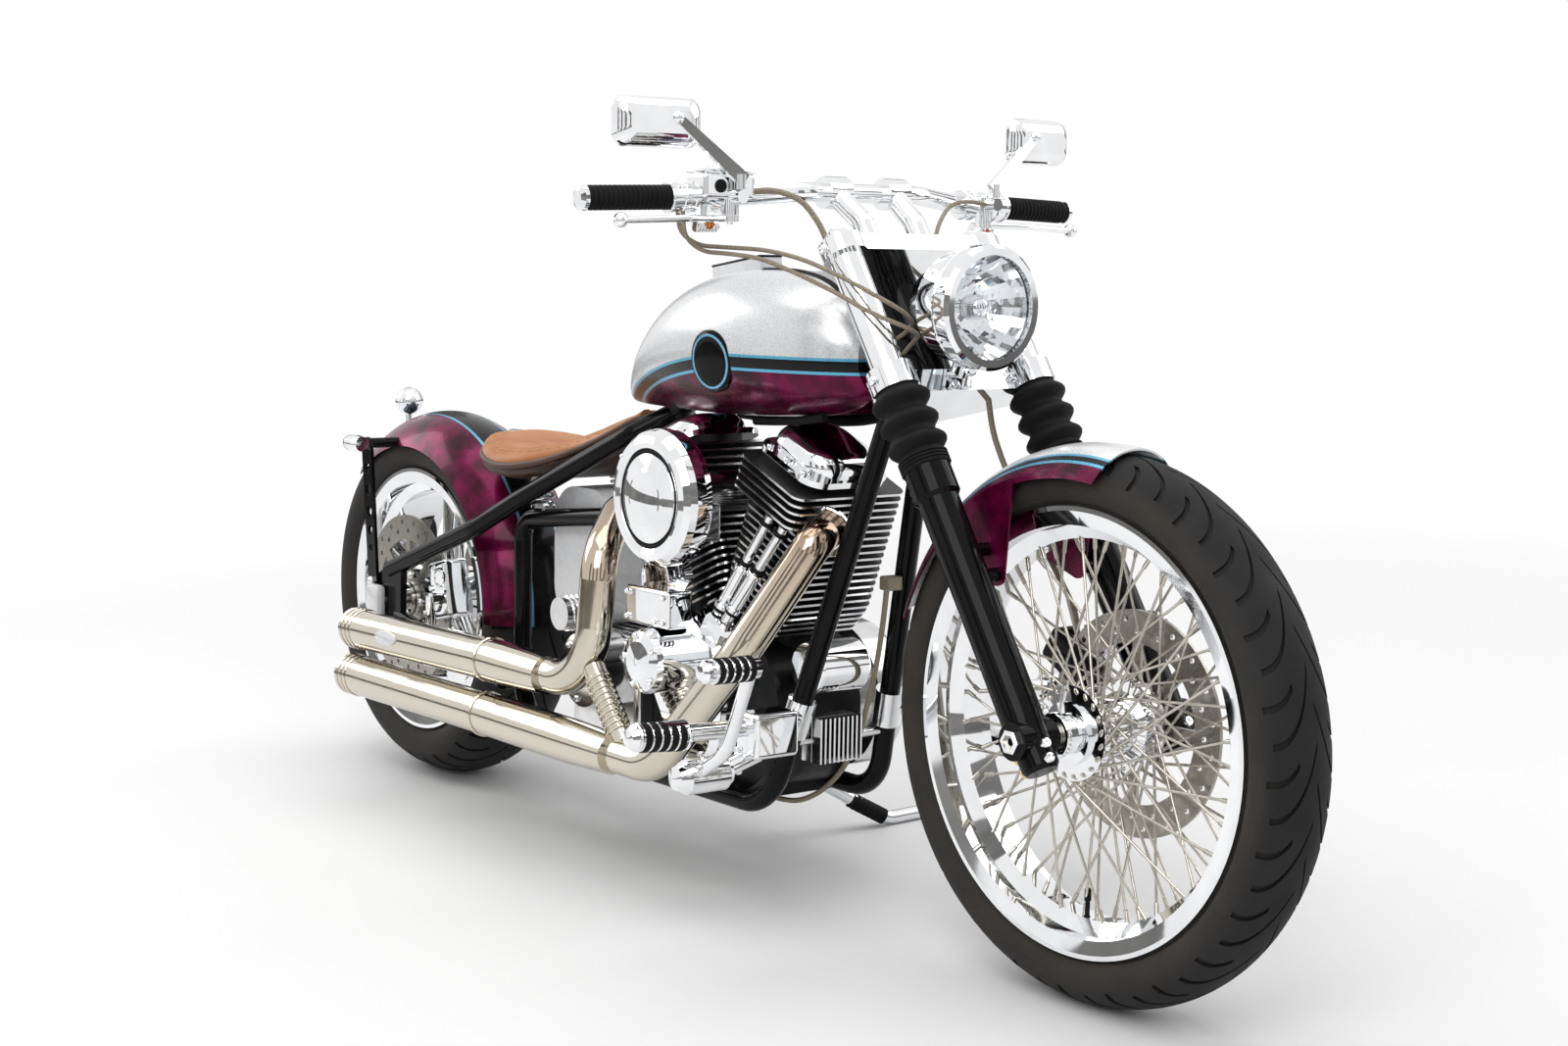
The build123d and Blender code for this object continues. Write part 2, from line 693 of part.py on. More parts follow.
def frame_cradle():
    """Two cradle tubes, with the stand's bracket on the left one."""
    neck = rod(stem_point(400), stem_point(800), NECK_RADIUS + SEAT_GAP)
    spine = frame_spine()
    tubes = []
    for side in (-1, 1):
        tube = pipe(downtube_points(side), [80, 120, 60, 40], TUBE) - neck - spine
        if side > 0:
            axis = stand_axis()
            tube += rod((STAND_PIVOT.X, RAIL_SIDE, RAIL_Z), STAND_PIVOT - axis * 12, 13)
            tube -= rod(STAND_PIVOT - axis * 6, STAND_PIVOT + axis * 40, 20)
            tube += rod(STAND_PIVOT - axis * 16, STAND_PIVOT - axis * 6, 19)
            tube += rod(STAND_PIVOT - axis * 8, STAND_PIVOT + axis * 14, 8)
        tubes += tube.solids()
    return Compound(children=tubes)


def stand_foot():
    """Lowest point of the stand's leg, lying on the ground when parked."""
    return Vector(STAND_REACH.X, STAND_REACH.Y, ground_height(STAND_REACH.Y, STAND_RADIUS))


def stand_axis():
    """Hinge line of the stand: square to the leg both down and folded back."""
    down = (stand_foot() - STAND_PIVOT).normalized()
    folded = Vector(-0.99, 0.12, -0.03)
    return down.cross(folded).normalized()


def side_stand():
    """Leg with a hinge eye and a toe along the ground."""
    axis = stand_axis()
    foot = stand_foot()
    toe_side = STAND_REACH.Y + STAND_TOE
    toe = Vector(STAND_REACH.X + 10, toe_side, ground_height(toe_side, STAND_RADIUS))
    leg = pipe([STAND_PIVOT + axis * 6, foot, toe], [40], STAND_RADIUS)
    eye = rod(STAND_PIVOT - axis * 5.7, STAND_PIVOT + axis * 13, 18)
    pin = rod(STAND_PIVOT - axis * 30, STAND_PIVOT + axis * 30, 8 + PIN_GAP)
    return leg + eye + ball(toe, STAND_RADIUS) - pin


def swingarm():
    """Rear arms: axle plates, upper and lower tubes, and the pivot tube between them."""
    pivot_x = POST_X + TUBE + 14 + SEAT_GAP
    arm = rod((pivot_x, -ARM_SIDE, PIVOT_Z), (pivot_x, ARM_SIDE, PIVOT_Z), 14)
    run = (RAIL_JOINT - RAIL_KNEE).normalized()
    for side in (-1, 1):
        joint = Vector(RAIL_JOINT.X, side * RAIL_JOINT.Y, RAIL_JOINT.Z)
        lead = Vector(joint.X + run.X * 40, side * (RAIL_JOINT.Y + run.Y * 40), joint.Z + run.Z * 40)
        arm += pipe([joint, lead, (26, side * ARM_SIDE, REAR_RADIUS + 60)], [120], TUBE)
        arm += rod((pivot_x, side * ARM_SIDE, PIVOT_Z), (52, side * ARM_SIDE, REAR_RADIUS - 20), ARM_RADIUS)
        plate = extrude(
            Plane(origin=(0, side * ARM_SIDE + 6, 0), x_dir=AHEAD, z_dir=RIGHT)
            * make_hull(
                (Pos(-22, REAR_RADIUS) * Circle(38)).edges()
                + (Pos(48, REAR_RADIUS + 56) * Circle(22)).edges()
                + (Pos(48, REAR_RADIUS - 16) * Circle(20)).edges()
            ),
            amount=12,
        )
        arm += plate
    return arm - rod((0, -200, REAR_RADIUS), (0, 200, REAR_RADIUS), REAR_AXLE_RADIUS + PIN_GAP)


def rear_axle():
    """Axle with spacers and end nuts."""
    inner, outer = ARM_SIDE - 6 - SEAT_GAP, ARM_SIDE + 6 + SEAT_GAP
    axle = rod(REAR_AXLE + RIGHT * (outer + 18), REAR_AXLE + LEFT * (outer + 18), REAR_AXLE_RADIUS)
    axle += rod(REAR_AXLE + RIGHT * inner, REAR_AXLE + RIGHT * 100.5, 18)
    axle += rod(REAR_AXLE + LEFT * inner, REAR_AXLE + LEFT * 122.5, 18)
    for side in (-1, 1):
        axle += rod(REAR_AXLE + LEFT * side * outer, REAR_AXLE + LEFT * side * (outer + 14), 17)
    return axle


def rear_caliper():
    """Rear caliper on its bracket, inside the arm's triangle."""
    centre = REAR_AXLE + Vector(150, -89.5, 36)
    body = Pos(*centre) * (Rot(0, -14, 0) * fillet(Box(60, 50, 100).edges(), 8))
    slot = turned([(0, -93.5), (156, -93.5), (156, -85.5), (0, -85.5)], REAR_AXLE, LEFT)
    lug = rod(REAR_AXLE + Vector(165, -100, 24), REAR_AXLE + Vector(165, -ARM_SIDE, 24), 10)
    pivot_x = POST_X + TUBE + 14 + SEAT_GAP
    arms = rod((pivot_x, -ARM_SIDE, PIVOT_Z), (52, -ARM_SIDE, REAR_RADIUS - 20), ARM_RADIUS + SEAT_GAP)
    strap = rod(REAR_AXLE + Vector(165, -ARM_SIDE, 29), REAR_AXLE + Vector(165, -ARM_SIDE, -41), 8)
    return (body - slot) + lug + (strap - arms)


STRUT_FOOT = (-24, REAR_RADIUS + 34)
STRUT_HEAD = (-46, REAR_RADIUS + 270)
SPACER_Z = REAR_RADIUS + 276


def fender_struts():
    """Drilled plates from the axle plates up to spacers on the fender."""
    struts = []
    for side in (-1, 1):
        outline = make_hull(
            (Pos(*STRUT_HEAD) * Circle(17)).edges() + (Pos(*STRUT_FOOT) * Circle(15)).edges()
        )
        for reach, radius in ((0.84, 10), (0.68, 11), (0.52, 9), (0.38, 8), (0.25, 6)):
            x = STRUT_FOOT[0] + (STRUT_HEAD[0] - STRUT_FOOT[0]) * reach
            z = STRUT_FOOT[1] + (STRUT_HEAD[1] - STRUT_FOOT[1]) * reach
            outline -= Pos(x, z) * Circle(radius)
        inner = ARM_SIDE + 6
        origin = (0, side * inner if side < 0 else inner + 6, 0)
        plate = extrude(Plane(origin=origin, x_dir=AHEAD, z_dir=RIGHT) * outline, amount=6)
        spacer = rod((STRUT_HEAD[0], side * 80, SPACER_Z), (STRUT_HEAD[0], side * inner, SPACER_Z), 9)
        struts += (plate + (spacer - fender_block())).solids()
    return Compound(children=struts)


def fender_block():
    """Fender filled in, grown by the gap between sheet and spacers."""
    half, crest = FENDER_HALF + SEAT_GAP, FENDER_CREST + SEAT_GAP
    arch = ThreePointArc((FENDER_EDGE, 0, -half), (crest, 0, 0), (FENDER_EDGE, 0, half))
    base = Polyline(arch @ 1, (FENDER_EDGE - 70, 0, half), (FENDER_EDGE - 70, 0, -half), arch @ 0)
    return around_axle(make_face([arch, base]), REAR_AXLE, -10, 150)


def rear_lamps():
    """Ball lamp on the fender and an indicator on each strut."""
    foot = REAR_AXLE + Vector(-165, 0, FENDER_CREST - 42)
    lamp = rod(foot, foot + UP * 45, 6) - fender_block() + ball(foot + UP * 54, 20)
    lamps = list(lamp.solids())
    for side in (-1, 1):
        base = Vector(STRUT_HEAD[0], side * (ARM_SIDE + 12), SPACER_Z)
        shell = turned([(0, -16), (13, -16), (15, 0), (13, 30), (6, 42), (0, 44)], base + LEFT * side * 16, -AHEAD)
        lamps += (rod(base, base + LEFT * side * 14, 7) + shell).solids()
    return Compound(children=lamps)


def crankcase():
    """Engine cases: flywheel drum, cylinder seats and the rear mount."""
    drum = rod((CRANK_X, -75, CRANK_Z), (CRANK_X, 75, CRANK_Z), 128)
    case = drum
    for bank in (1, -1):
        seat = rod(cylinder_point(bank, 40), cylinder_point(bank, BARREL[0]), 52)
        case += seat
    case += Pos(790, 0, 265) * Box(100, 130, 150)
    case += Pos(CRANK_X - 20, 0, CRANK_PLATE_Z) * Box(120, 2 * RAIL_SIDE, CRANK_PLATE)
    for side in (-1, 1):
        front, rear = downtube_points(side)[1:3]
        case -= rod(front, rear, TUBE + SEAT_GAP)
    return case


FIN_COUNT = 21
FIN_THICK = 3.5
FIN_SIDE = 82
HEAD_FIN_SIDE = 116
HEAD_FROM = 330


def cylinders():
    """Two finned barrels with finned heads."""
    barrels = []
    for bank in (1, -1):
        core = rod(cylinder_point(bank, BARREL[0]), cylinder_point(bank, HEAD_TOP), 50)
        fins = []
        pitch = (HEAD_TOP - BARREL[0] - 14) / FIN_COUNT
        for number in range(FIN_COUNT):
            along = BARREL[0] + 10 + number * pitch
            half = min(FIN_HALF, (math.tan(math.radians(BANK)) * along - 3))
            low, high = (-FIN_SIDE, FIN_SIDE) if along < HEAD_FROM else (-HEAD_FIN_SIDE, FIN_SIDE)
            plane = cylinder_plane(bank, along)
            outline = Pos(0, (low + high) / 2) * RectangleRounded(2 * half, high - low, 18)
            fins.append(extrude(plane * outline, amount=FIN_THICK))
        barrels += (core + fins).solids()
    return Compound(children=barrels)


PUSHROD_FEET = (36, 64)
PUSHROD_HEADS = (14, 48)
PUSHROD_TOP = 325
PUSHROD_FOOT_Z = 412
PUSHROD_FOOT_SIDE = -122
PUSHROD_HEAD_SIDE = -101


def pushrod_ends(bank, foot, head):
    """Lower and upper end of one pushrod tube."""
    start = Vector(CRANK_X + bank * foot, PUSHROD_FOOT_SIDE, PUSHROD_FOOT_Z)
    return start, cylinder_point(bank, PUSHROD_TOP, head, PUSHROD_HEAD_SIDE)


def valve_gear():
    """Rocker boxes and pushrod tubes."""
    solids = []
    for bank in (1, -1):
        lower = cylinder_plane(bank, HEAD_TOP)
        base = extrude(lower * (Pos(0, ROCKER_SIDE) * RectangleRounded(146, 150, 34)), amount=ROCKER_LIP)
        cap = Pos(0, ROCKER_SIDE) * RectangleRounded(138, 124, 44)
        lid = extrude(lower * cap, amount=ROCKER_TOP - HEAD_TOP)
        crown = lid.faces().sort_by(Axis(lower.origin, lower.z_dir))[-1]
        box = base + fillet(crown.edges(), 24)
        solids += box.solids()
        for foot, head in zip(PUSHROD_FEET, PUSHROD_HEADS):
            start, end = pushrod_ends(bank, foot, head)
            middle = start + (end - start) * 0.5
            solids += (rod(start, middle, 10) + rod(middle - (end - start) * 0.05, end, 7.5)).solids()
    return Compound(children=solids)


def cam_cover():
    """Gearcase on the right with its round cover and the lifter blocks."""
    circles = (
        (CAM_X, CAM_Z, 72),
        (CRANK_X + 50, 360, 30),
        (CRANK_X - 75, 360, 30),
        (CRANK_X + 10, CRANK_Z - 20, 64),
    )
    edges = ShapeList()
    for x, z, radius in circles:
        edges += (Pos(x, z) * Circle(radius)).edges()
    plane = Plane(origin=(0, -75, 0), x_dir=AHEAD, z_dir=RIGHT)
    cover = extrude(plane * make_hull(edges), amount=75)
    cover = chamfer(cover.faces().sort_by(Axis.Y)[0].edges(), 10)
    cover += turned([(0, 0), (48, 0), (48, 40), (44, 48), (30, 54), (0, 57)], (CAM_X, -150, CAM_Z), RIGHT)
    for bank in (1, -1):
        base = Vector(CRANK_X + bank * 50, PUSHROD_FOOT_SIDE, 392)
        cover += Pos(*base) * (Rot(0, bank * 33, 0) * chamfer(Box(56, 44, 48).edges(), 6))
    cover += block((888, -158, 422), (112, 46, 56), 6)
    cover += rod((852, -140, 455), (852, -96, 455), 34) + rod((870, -120, 440), (930, -120, 440), 24)
    tops = []
    for bank in (1, -1):
        for foot, head in zip(PUSHROD_FEET, PUSHROD_HEADS):
            start, end = pushrod_ends(bank, foot, head)
            tops.append(rod(start, end, 10 + PIN_GAP))
    return cover - tops - fin_room(1) - fin_room(-1)


def carburettor():
    """Carburettor and manifold between the cylinders."""
    body = rod((CLEANER_X, -164, CLEANER_Z), (CLEANER_X, -20, CLEANER_Z), 30)
    bowl = block((CLEANER_X, -128, CLEANER_Z - 42), (52, 50, 56), 6)
    manifold = rod((CRANK_X - 90, -30, CLEANER_Z), (CRANK_X + 90, -30, CLEANER_Z), 24)
    return body + bowl + (manifold - fin_room(1) - fin_room(-1))


def fin_room(bank):
    """Space of one finned cylinder, grown by the seating gap."""
    width = 2 * (FIN_HALF + SEAT_GAP)
    barrel = Rectangle(width, 2 * (FIN_SIDE + SEAT_GAP))
    head = Pos(0, (FIN_SIDE - HEAD_FIN_SIDE) / 2) * Rectangle(width, FIN_SIDE + HEAD_FIN_SIDE + 2 * SEAT_GAP)
    room = extrude(cylinder_plane(bank, BARREL[0]) * barrel, amount=HEAD_TOP - BARREL[0])
    above = cylinder_plane(bank, HEAD_FROM - SEAT_GAP) * head
    return room + extrude(above, amount=HEAD_TOP - HEAD_FROM + SEAT_GAP)


def air_cleaner():
    """Round air cleaner on the right."""
    size = CLEANER_RADIUS
    outside = [(size - 12, 0), (size - 2, 6), (size, 16), (size, 32)]
    outside += [(size - 3, 42), (size - 10, 50), (size - 19, 53)]
    face = [(size - 27, 50), (size - 29, 45), (size - 33, 45), (size - 35, 50), (size - 60, 57), (0, 60)]
    shell = turned([(0, 0)] + outside + face, (CLEANER_X, -164, CLEANER_Z - 5), RIGHT)
    hollow = turned([(0, 4), (size - 16, 4), (size - 4, 12), (size - 4, 34), (size - 36, 42), (0, 50)],
                    (CLEANER_X, -164, CLEANER_Z - 5), RIGHT)
    return shell - hollow


def primary_cover():
    """Long cover on the left over the primary drive."""
    edges = (Pos(CRANK_X, CRANK_Z) * Circle(112)).edges() + (Pos(DRIVE_X, DRIVE_Z) * Circle(112)).edges()
    shell = extrude(Plane(origin=(0, 182, 0), x_dir=AHEAD, z_dir=RIGHT) * make_hull(edges), amount=58)
    shell = fillet(shell.faces().sort_by(Axis.Y)[-1].edges(), 14)
    boss = rod((CRANK_X, 75, CRANK_Z), (CRANK_X, 126, CRANK_Z), 84)
    derby = turned([(0, 0), (70, 0), (70, 4), (60, 9), (0, 11)], (DRIVE_X, 182, DRIVE_Z), LEFT)
    return shell + boss + derby


def transmission():
    """Gearbox with its end cover, starter and drive pulley."""
    case = block((646, -10, 262), (186, 170, 156), 10)
    case += rod((660, -90, 292), (660, -146, 292), 58)
    case += rod((600, -80, 372), (600, -150, 372), 26) + rod((600, -80, 372), (600, -80.5, 300), 10)
    case += rod((DRIVE_X, 70, DRIVE_Z), (DRIVE_X, 123.7, DRIVE_Z), 20)
    case += rod((DRIVE_X, BELT_SIDE[0] - 2, DRIVE_Z), (DRIVE_X, BELT_SIDE[1] + 1, DRIVE_Z), DRIVE_PULLEY)
    return case


def oil_tank():
    """Rounded oil tank below the seat."""
    wall = Plane(origin=(0, 66, 0), x_dir=AHEAD, z_dir=RIGHT)
    outline = wall * (Pos(535, 450) * RectangleRounded(170, 220, 60))
    tank = extrude(outline, amount=132)
    return tank


def exhaust():
    """Front and rear pipes with their mufflers, hollow and joined by a crossover."""
    outer, inner = [], []
    for row in EXHAUST_RUNS:
        corners = [Vector(*corner) for corner in row.corners]
        last = corners[-1]
        end = Vector(MUFFLER_END, last.Y - 3, row.end_z)
        run = (end - last).normalized()
        sleeve = last + AHEAD * row.sleeve
        outer += [pipe(corners, row.bends, HEADER_RADIUS), rod(sleeve, last, SLEEVE_RADIUS)]
        outer.append(rod(last - run * 4, end, MUFFLER_RADIUS))
        inner += [pipe(corners, row.bends, HEADER_RADIUS - PIPE_WALL), rod(last, end + run * 5, MUFFLER_BORE)]
    outer.append(rod((790, -207, 320), (884, -214, 222), CROSSOVER_RADIUS))
    shell = outer[0]
    for solid in outer[1:]:
        shell += solid
    for solid in inner:
        shell -= solid
    return shell - fin_room(1) - fin_room(-1)


def oil_filter():
    """Filter canister across the front of the cases."""
    can = turned([(0, 0), (36, 0), (38, 4), (38, 84), (30, 92), (0, 94)], (1110, -54, 352), LEFT)
    neck = rod((1110, -10, 352), (1060, -10, 330), 18)
    return can + neck - rod((CRANK_X, -80, CRANK_Z), (CRANK_X, 80, CRANK_Z), 128 + SEAT_GAP)


def regulator():
    """Finned regulator between the downtubes."""
    body = Pos(1122, -24, 254) * Box(22, 76, 64)
    for number in range(10):
        body += Pos(1142, -60 + number * 8, 254) * Box(22, 3, 64)
    stay = rod((1116, -100, 250), (1116, 100, 250), 6)
    for side in (-1, 1):
        high, low = downtube_points(side)[:2]
        stay -= rod(high, low, TUBE + SEAT_GAP) + Pos(1116, side * 108, 250) * Box(60, 40, 60)
    return body + stay


TankStation = namedtuple("TankStation", "x half low high")
TANK_STATIONS = (
    TankStation(x=1222, half=62, low=742, high=848),
    TankStation(x=1180, half=98, low=722, high=882),
    TankStation(x=1080, half=130, low=708, high=906),
    TankStation(x=960, half=140, low=702, high=912),
    TankStation(x=830, half=124, low=700, high=886),
    TankStation(x=720, half=88, low=700, high=826),
    TankStation(x=640, half=46, low=702, high=748),
)


def fuel_tank():
    """Tank lofted along the bike, with a tunnel for the backbone."""
    sections = []
    for row in TANK_STATIONS:
        height = row.high - row.low
        corner = 0.46 * min(height, 2 * row.half)
        plane = Plane(origin=(row.x, 0, (row.high + row.low) / 2), x_dir=LEFT, z_dir=AHEAD)
        sections.append(plane * RectangleRounded(2 * row.half, height, corner))
    tunnel = Pos(930, 0, 750) * Box(700, 64, 144)
    neck = rod(stem_point(450), stem_point(800), NECK_RADIUS + 5)
    return loft(sections) - tunnel - neck


def tank_fittings():
    """Flat cap panel on the tank's crest."""
    tank = fuel_tank()
    panel = Pos(880, 0, 908) * (Rot(0, -8, 0) * Box(120, 40, 34))
    return panel - tank


SeatStation = namedtuple("SeatStation", "x half middle thick")
SEAT_STATIONS = (
    SeatStation(x=238, half=52, middle=622, thick=26),
    SeatStation(x=290, half=112, middle=604, thick=36),
    SeatStation(x=380, half=132, middle=588, thick=42),
    SeatStation(x=470, half=98, middle=602, thick=42),
    SeatStation(x=560, half=58, middle=638, thick=38),
    SeatStation(x=632, half=26, middle=682, thick=26),
)


def seat():
    """Solo saddle lofted along the bike."""
    sections = []
    for row in SEAT_STATIONS:
        plane = Plane(origin=(row.x, 0, row.middle), x_dir=LEFT, z_dir=AHEAD)
        sections.append(plane * RectangleRounded(2 * row.half, row.thick, row.thick * 0.44))
    return loft(sections)


SPRING_X = 430
SPRING_SIDE = 76


def brace_top(x):
    """Height of the top of the brace tube under the saddle."""
    rise = (BRACE_Z[1] - BRACE_Z[0]) / (BRACE_END - POST_X)
    return BRACE_Z[0] + rise * (x - POST_X) + TUBE * math.hypot(1, rise) + 0.1


def seat_springs():
    """Two coil springs under the saddle."""
    saddle = seat()
    springs = []
    for side in (-1, 1):
        base = Vector(SPRING_X, side * SPRING_SIDE, brace_top(SPRING_X + 20))
        low = rod(base, base + UP * 4, 20)
        coil = Pos(*base) * Pos(0, 0, 6) * sweep(
            Plane(origin=(16, 0, 0), z_dir=LEFT) * Circle(3), path=Helix(pitch=11, height=36, radius=16))
        top = rod(base + UP * 42, base + UP * 70, 20) - saddle
        springs += (low + coil + top).solids()
    return Compound(children=springs)


def right_foot_controls():
    """Forward controls on the right: clamp, master block, peg and pedal."""
    points = downtube_points(-1)
    high, low = points[0], points[1]
    run = (low - high).normalized()
    start, end = high + run * 496, high + run * 550
    clamp = ring(start, end, 21, TUBE + 0.05)
    middle = (start + end) * 0.5
    block_at = Vector(1200, -190, 290)
    arm = rod(middle, block_at, 14) - rod(high, low, TUBE + 0.05)
    body = block(block_at, (48, 74, 62), 7)
    peg_end = Vector(PEG_END.X, 17 - PEG_END.Y, PEG_END.Z)
    peg = rod((1200, -200, 300), peg_end + RIGHT, 12) + rod(peg_end + LEFT * 74, peg_end + RIGHT, 17)
    peg += turned([(0, 0), (17, 0), (18, 6), (12, 14), (0, 17)], peg_end, RIGHT)
    pivot = turned([(0, 0), (19, 0), (24, 8), (24, 70), (16, 84), (0, 90)], (1182, -245, 240), RIGHT)
    link = rod((1190, -200, 262), (1182, -262, 240), 13)
    pedal = pipe([(1182, -300, 240), (1268, -308, 288), (1349, -330, 412)], [90], 9)
    pad = rod((1349, -322, 414), (1352, -400, 416), 14)
    pad += turned([(0, 0), (14.5, 0), (14.5, 5), (9, 11), (0, 12)], (1352, -400, 416), RIGHT)
    return clamp + arm + body + peg + pivot + link + pedal + pad


def left_foot_controls():
    """Forward controls on the left, the mirror image of the right ones."""
    return other_side(right_foot_controls())


HOSE_RADIUS = 4
CABLE_RADIUS = 3
HOSE_ROUTES = (
    ((1140, -190, 1018), (1150, -158, 1022), (1172, -126, 1010), (1187, -102, 974), (1196, -89, 930),
     (1219, -85, 891), (1252, -81, 872), (1286, -78, 846), (1314, -74, 808), (1331, -70, 767)),
    ((1349, 62, 747), (1357, 64, 702), (1373, 72, 657), (1402, 80, 606), (1440, 86, 552), (1478, 87, 506),
     (1508, 82, 474), (1518, 76, 448)),
)
THROTTLE_ROUTES = (
    ((1100, -278, 991), (1101, -275, 962), (1109, -250, 945), (1134, -214, 943), (1184, -195, 941),
     (1244, -178, 930), (1304, -160, 908), (1350, -138, 884), (1366, -104, 864), (1346, -70, 848),
     (1306, -48, 835), (1266, -30, 825)),
    ((1112, -278, 991), (1112, -275, 956), (1118, -250, 937), (1138, -222, 935), (1186, -204, 930),
     (1246, -186, 910), (1302, -164, 886), (1348, -146, 862), (1376, -114, 846), (1366, -76, 834),
     (1320, -50, 820), (1279, -30, 805)),
)
CLUTCH_ROUTE = (
    (1160, 222, 1010), (1160, 180, 1015), (1168, 142, 1008), (1184, 108, 980), (1199, 84, 934),
    (1216, 62, 892), (1238, 30, 867),
)
OIL_ROUTE = (
    (1192, 22, 476), (1185, 22, 422), (1172, 23, 362), (1153, 24, 304), (1133, 24, 248), (1098, 24, 194),
    (1048, 23, 152), (996, 22, 128), (940, 21, 123), (896, 20, 130), (866, 20, 146),
)


def cord(route, radius):
    """Round cord along a route, each arc as large as its two runs allow."""
    points = [Vector(*point) for point in route]
    arcs = []
    for before, corner, after in zip(points, points[1:], points[2:]):
        turn = (corner - before).get_angle(after - corner)
        run = min((corner - before).length, (after - corner).length)
        arcs.append(0.45 * run / math.tan(math.radians(turn / 2)))
    return pipe(points, arcs, radius)


def brake_hose():
    """Front brake hose: from the fluid box to the lower tree, and from there to the caliper."""
    carriers = (hand_controls(), lower_tree(), front_caliper())
    hoses = []
    for route in HOSE_ROUTES:
        hose = cord(route, HOSE_RADIUS)
        for carrier in carriers:
            hose -= carrier
        hoses += hose.solids()
    return Compound(children=hoses)


def control_cables():
    """Two throttle cables and a clutch cable, from the bar round to the neck."""
    neck = rod(stem_point(LOWER_TREE[1]), stem_point(UPPER_TREE[0]), NECK_RADIUS + SEAT_GAP)
    housings = hand_controls()
    cables = []
    for route in THROTTLE_ROUTES + (CLUTCH_ROUTE,):
        cables += (cord(route, CABLE_RADIUS) - neck - housings).solids()
    return Compound(children=cables)


def oil_line():
    """Braided line from a fitting on the left downtube down the front and under the cases."""
    high, low = downtube_points(1)[:2]
    fitting = block((1188, 32, 478), (22, 26, 20), 3) - rod(high, low, TUBE + SEAT_GAP)
    plate = Pos(CRANK_X - 20, 0, CRANK_PLATE_Z) * Box(120, 2 * RAIL_SIDE, CRANK_PLATE + 2 * SEAT_GAP)
    return fitting + (cord(OIL_ROUTE, HOSE_RADIUS) - plate)


NODES = (
    front_tyre, front_rim, front_hub, front_spokes, front_disc,
    rear_tyre, rear_rim, rear_disc, rear_pulley, drive_belt,
    lower_tree, upper_tree, fork_tubes, fork_gaiters, fork_lowers, front_axle, front_fender, front_caliper,
    headlight, headlight_lens, handlebar, grips, hand_controls, hand_levers, mirrors,
    frame_spine, frame_cradle, swingarm, rear_axle, rear_caliper, rear_fender, fender_struts, rear_lamps,
    crankcase, cylinders, valve_gear, cam_cover, carburettor, air_cleaner, primary_cover, transmission,
    oil_tank, oil_filter, regulator, exhaust, brake_hose, control_cables, oil_line,
    fuel_tank, tank_fittings, seat, seat_springs, right_foot_controls, left_foot_controls, side_stand,
)


def main():
    """Build every node upright, lean it on its stand and save it."""
    os.makedirs("parts", exist_ok=True)
    for node in NODES:
        export_step(PARKED * node(), f"parts/{node.__name__}.step")


if __name__ == "__main__":
    main()
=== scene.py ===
"""Looks of the bobber motorcycle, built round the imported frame."""
import json
import logging
import math
from dataclasses import dataclass
from enum import Enum
from typing import Callable, Iterable, Sequence

import bpy
from mathutils import Matrix, Vector


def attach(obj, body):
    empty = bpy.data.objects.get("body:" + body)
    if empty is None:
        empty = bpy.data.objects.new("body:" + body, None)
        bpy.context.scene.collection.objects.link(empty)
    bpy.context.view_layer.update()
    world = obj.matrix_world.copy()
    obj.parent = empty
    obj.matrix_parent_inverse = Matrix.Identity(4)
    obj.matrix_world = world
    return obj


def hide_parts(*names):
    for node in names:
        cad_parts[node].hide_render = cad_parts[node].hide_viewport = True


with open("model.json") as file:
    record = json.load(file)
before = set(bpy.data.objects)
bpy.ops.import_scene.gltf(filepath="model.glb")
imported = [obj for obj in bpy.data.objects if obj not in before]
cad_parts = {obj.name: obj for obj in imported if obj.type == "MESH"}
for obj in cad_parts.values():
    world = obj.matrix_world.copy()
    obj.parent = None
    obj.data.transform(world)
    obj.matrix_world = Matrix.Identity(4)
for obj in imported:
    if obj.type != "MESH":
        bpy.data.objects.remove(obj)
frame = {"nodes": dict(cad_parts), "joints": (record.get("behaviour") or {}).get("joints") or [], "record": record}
LOG = logging.getLogger("bobber")
Triple = tuple[float, float, float]
Point = Sequence[float]
Piece = bpy.types.Object
Socket = bpy.types.NodeSocket
# One millimetre in metres, the unit of the shared frame.
MM = 0.001
LEAN_DEG = 4.0
RAKE_DEG = 33.0
BANK_DEG = 22.5
FRONT_RADIUS = 350.0
REAR_RADIUS = 316.0
FRONT_AXLE = Vector((1642, 0, FRONT_RADIUS))
REAR_AXLE = Vector((0, 0, REAR_RADIUS))
CRANK = Vector((945, 0, 275))
FORK_UP = Vector((-math.sin(math.radians(RAKE_DEG)), 0, math.cos(math.radians(RAKE_DEG))))
FORK_AHEAD = Vector((math.cos(math.radians(RAKE_DEG)), 0, math.sin(math.radians(RAKE_DEG))))
AHEAD = Vector((1, 0, 0))
LEFT = Vector((0, 1, 0))
RIGHT = Vector((0, -1, 0))
UP = Vector((0, 0, 1))
LEG_SIDE = 120.0
STEM_BACK = 57.0
STEM_TOP = FRONT_AXLE + FORK_UP * 718 - FORK_AHEAD * STEM_BACK
BAR_END = STEM_TOP + Vector((-103, 428, 83))
BAR_KNEE = STEM_TOP + Vector((-97, 205, 90))
LAMP_CENTRE = FRONT_AXLE + FORK_UP * 561.4 + FORK_AHEAD * 90.3
# Rays that look for a cover start this far to the side, clear of everything they look at.
OUTSIDE = 300.0


class Body(Enum):
    """Rigid bodies that a piece can ride on."""

    CHASSIS = "chassis"
    STEERING = "steering"
    FRONT_WHEEL = "front_wheel"
    REAR_WHEEL = "rear_wheel"
    STAND = "side_stand"


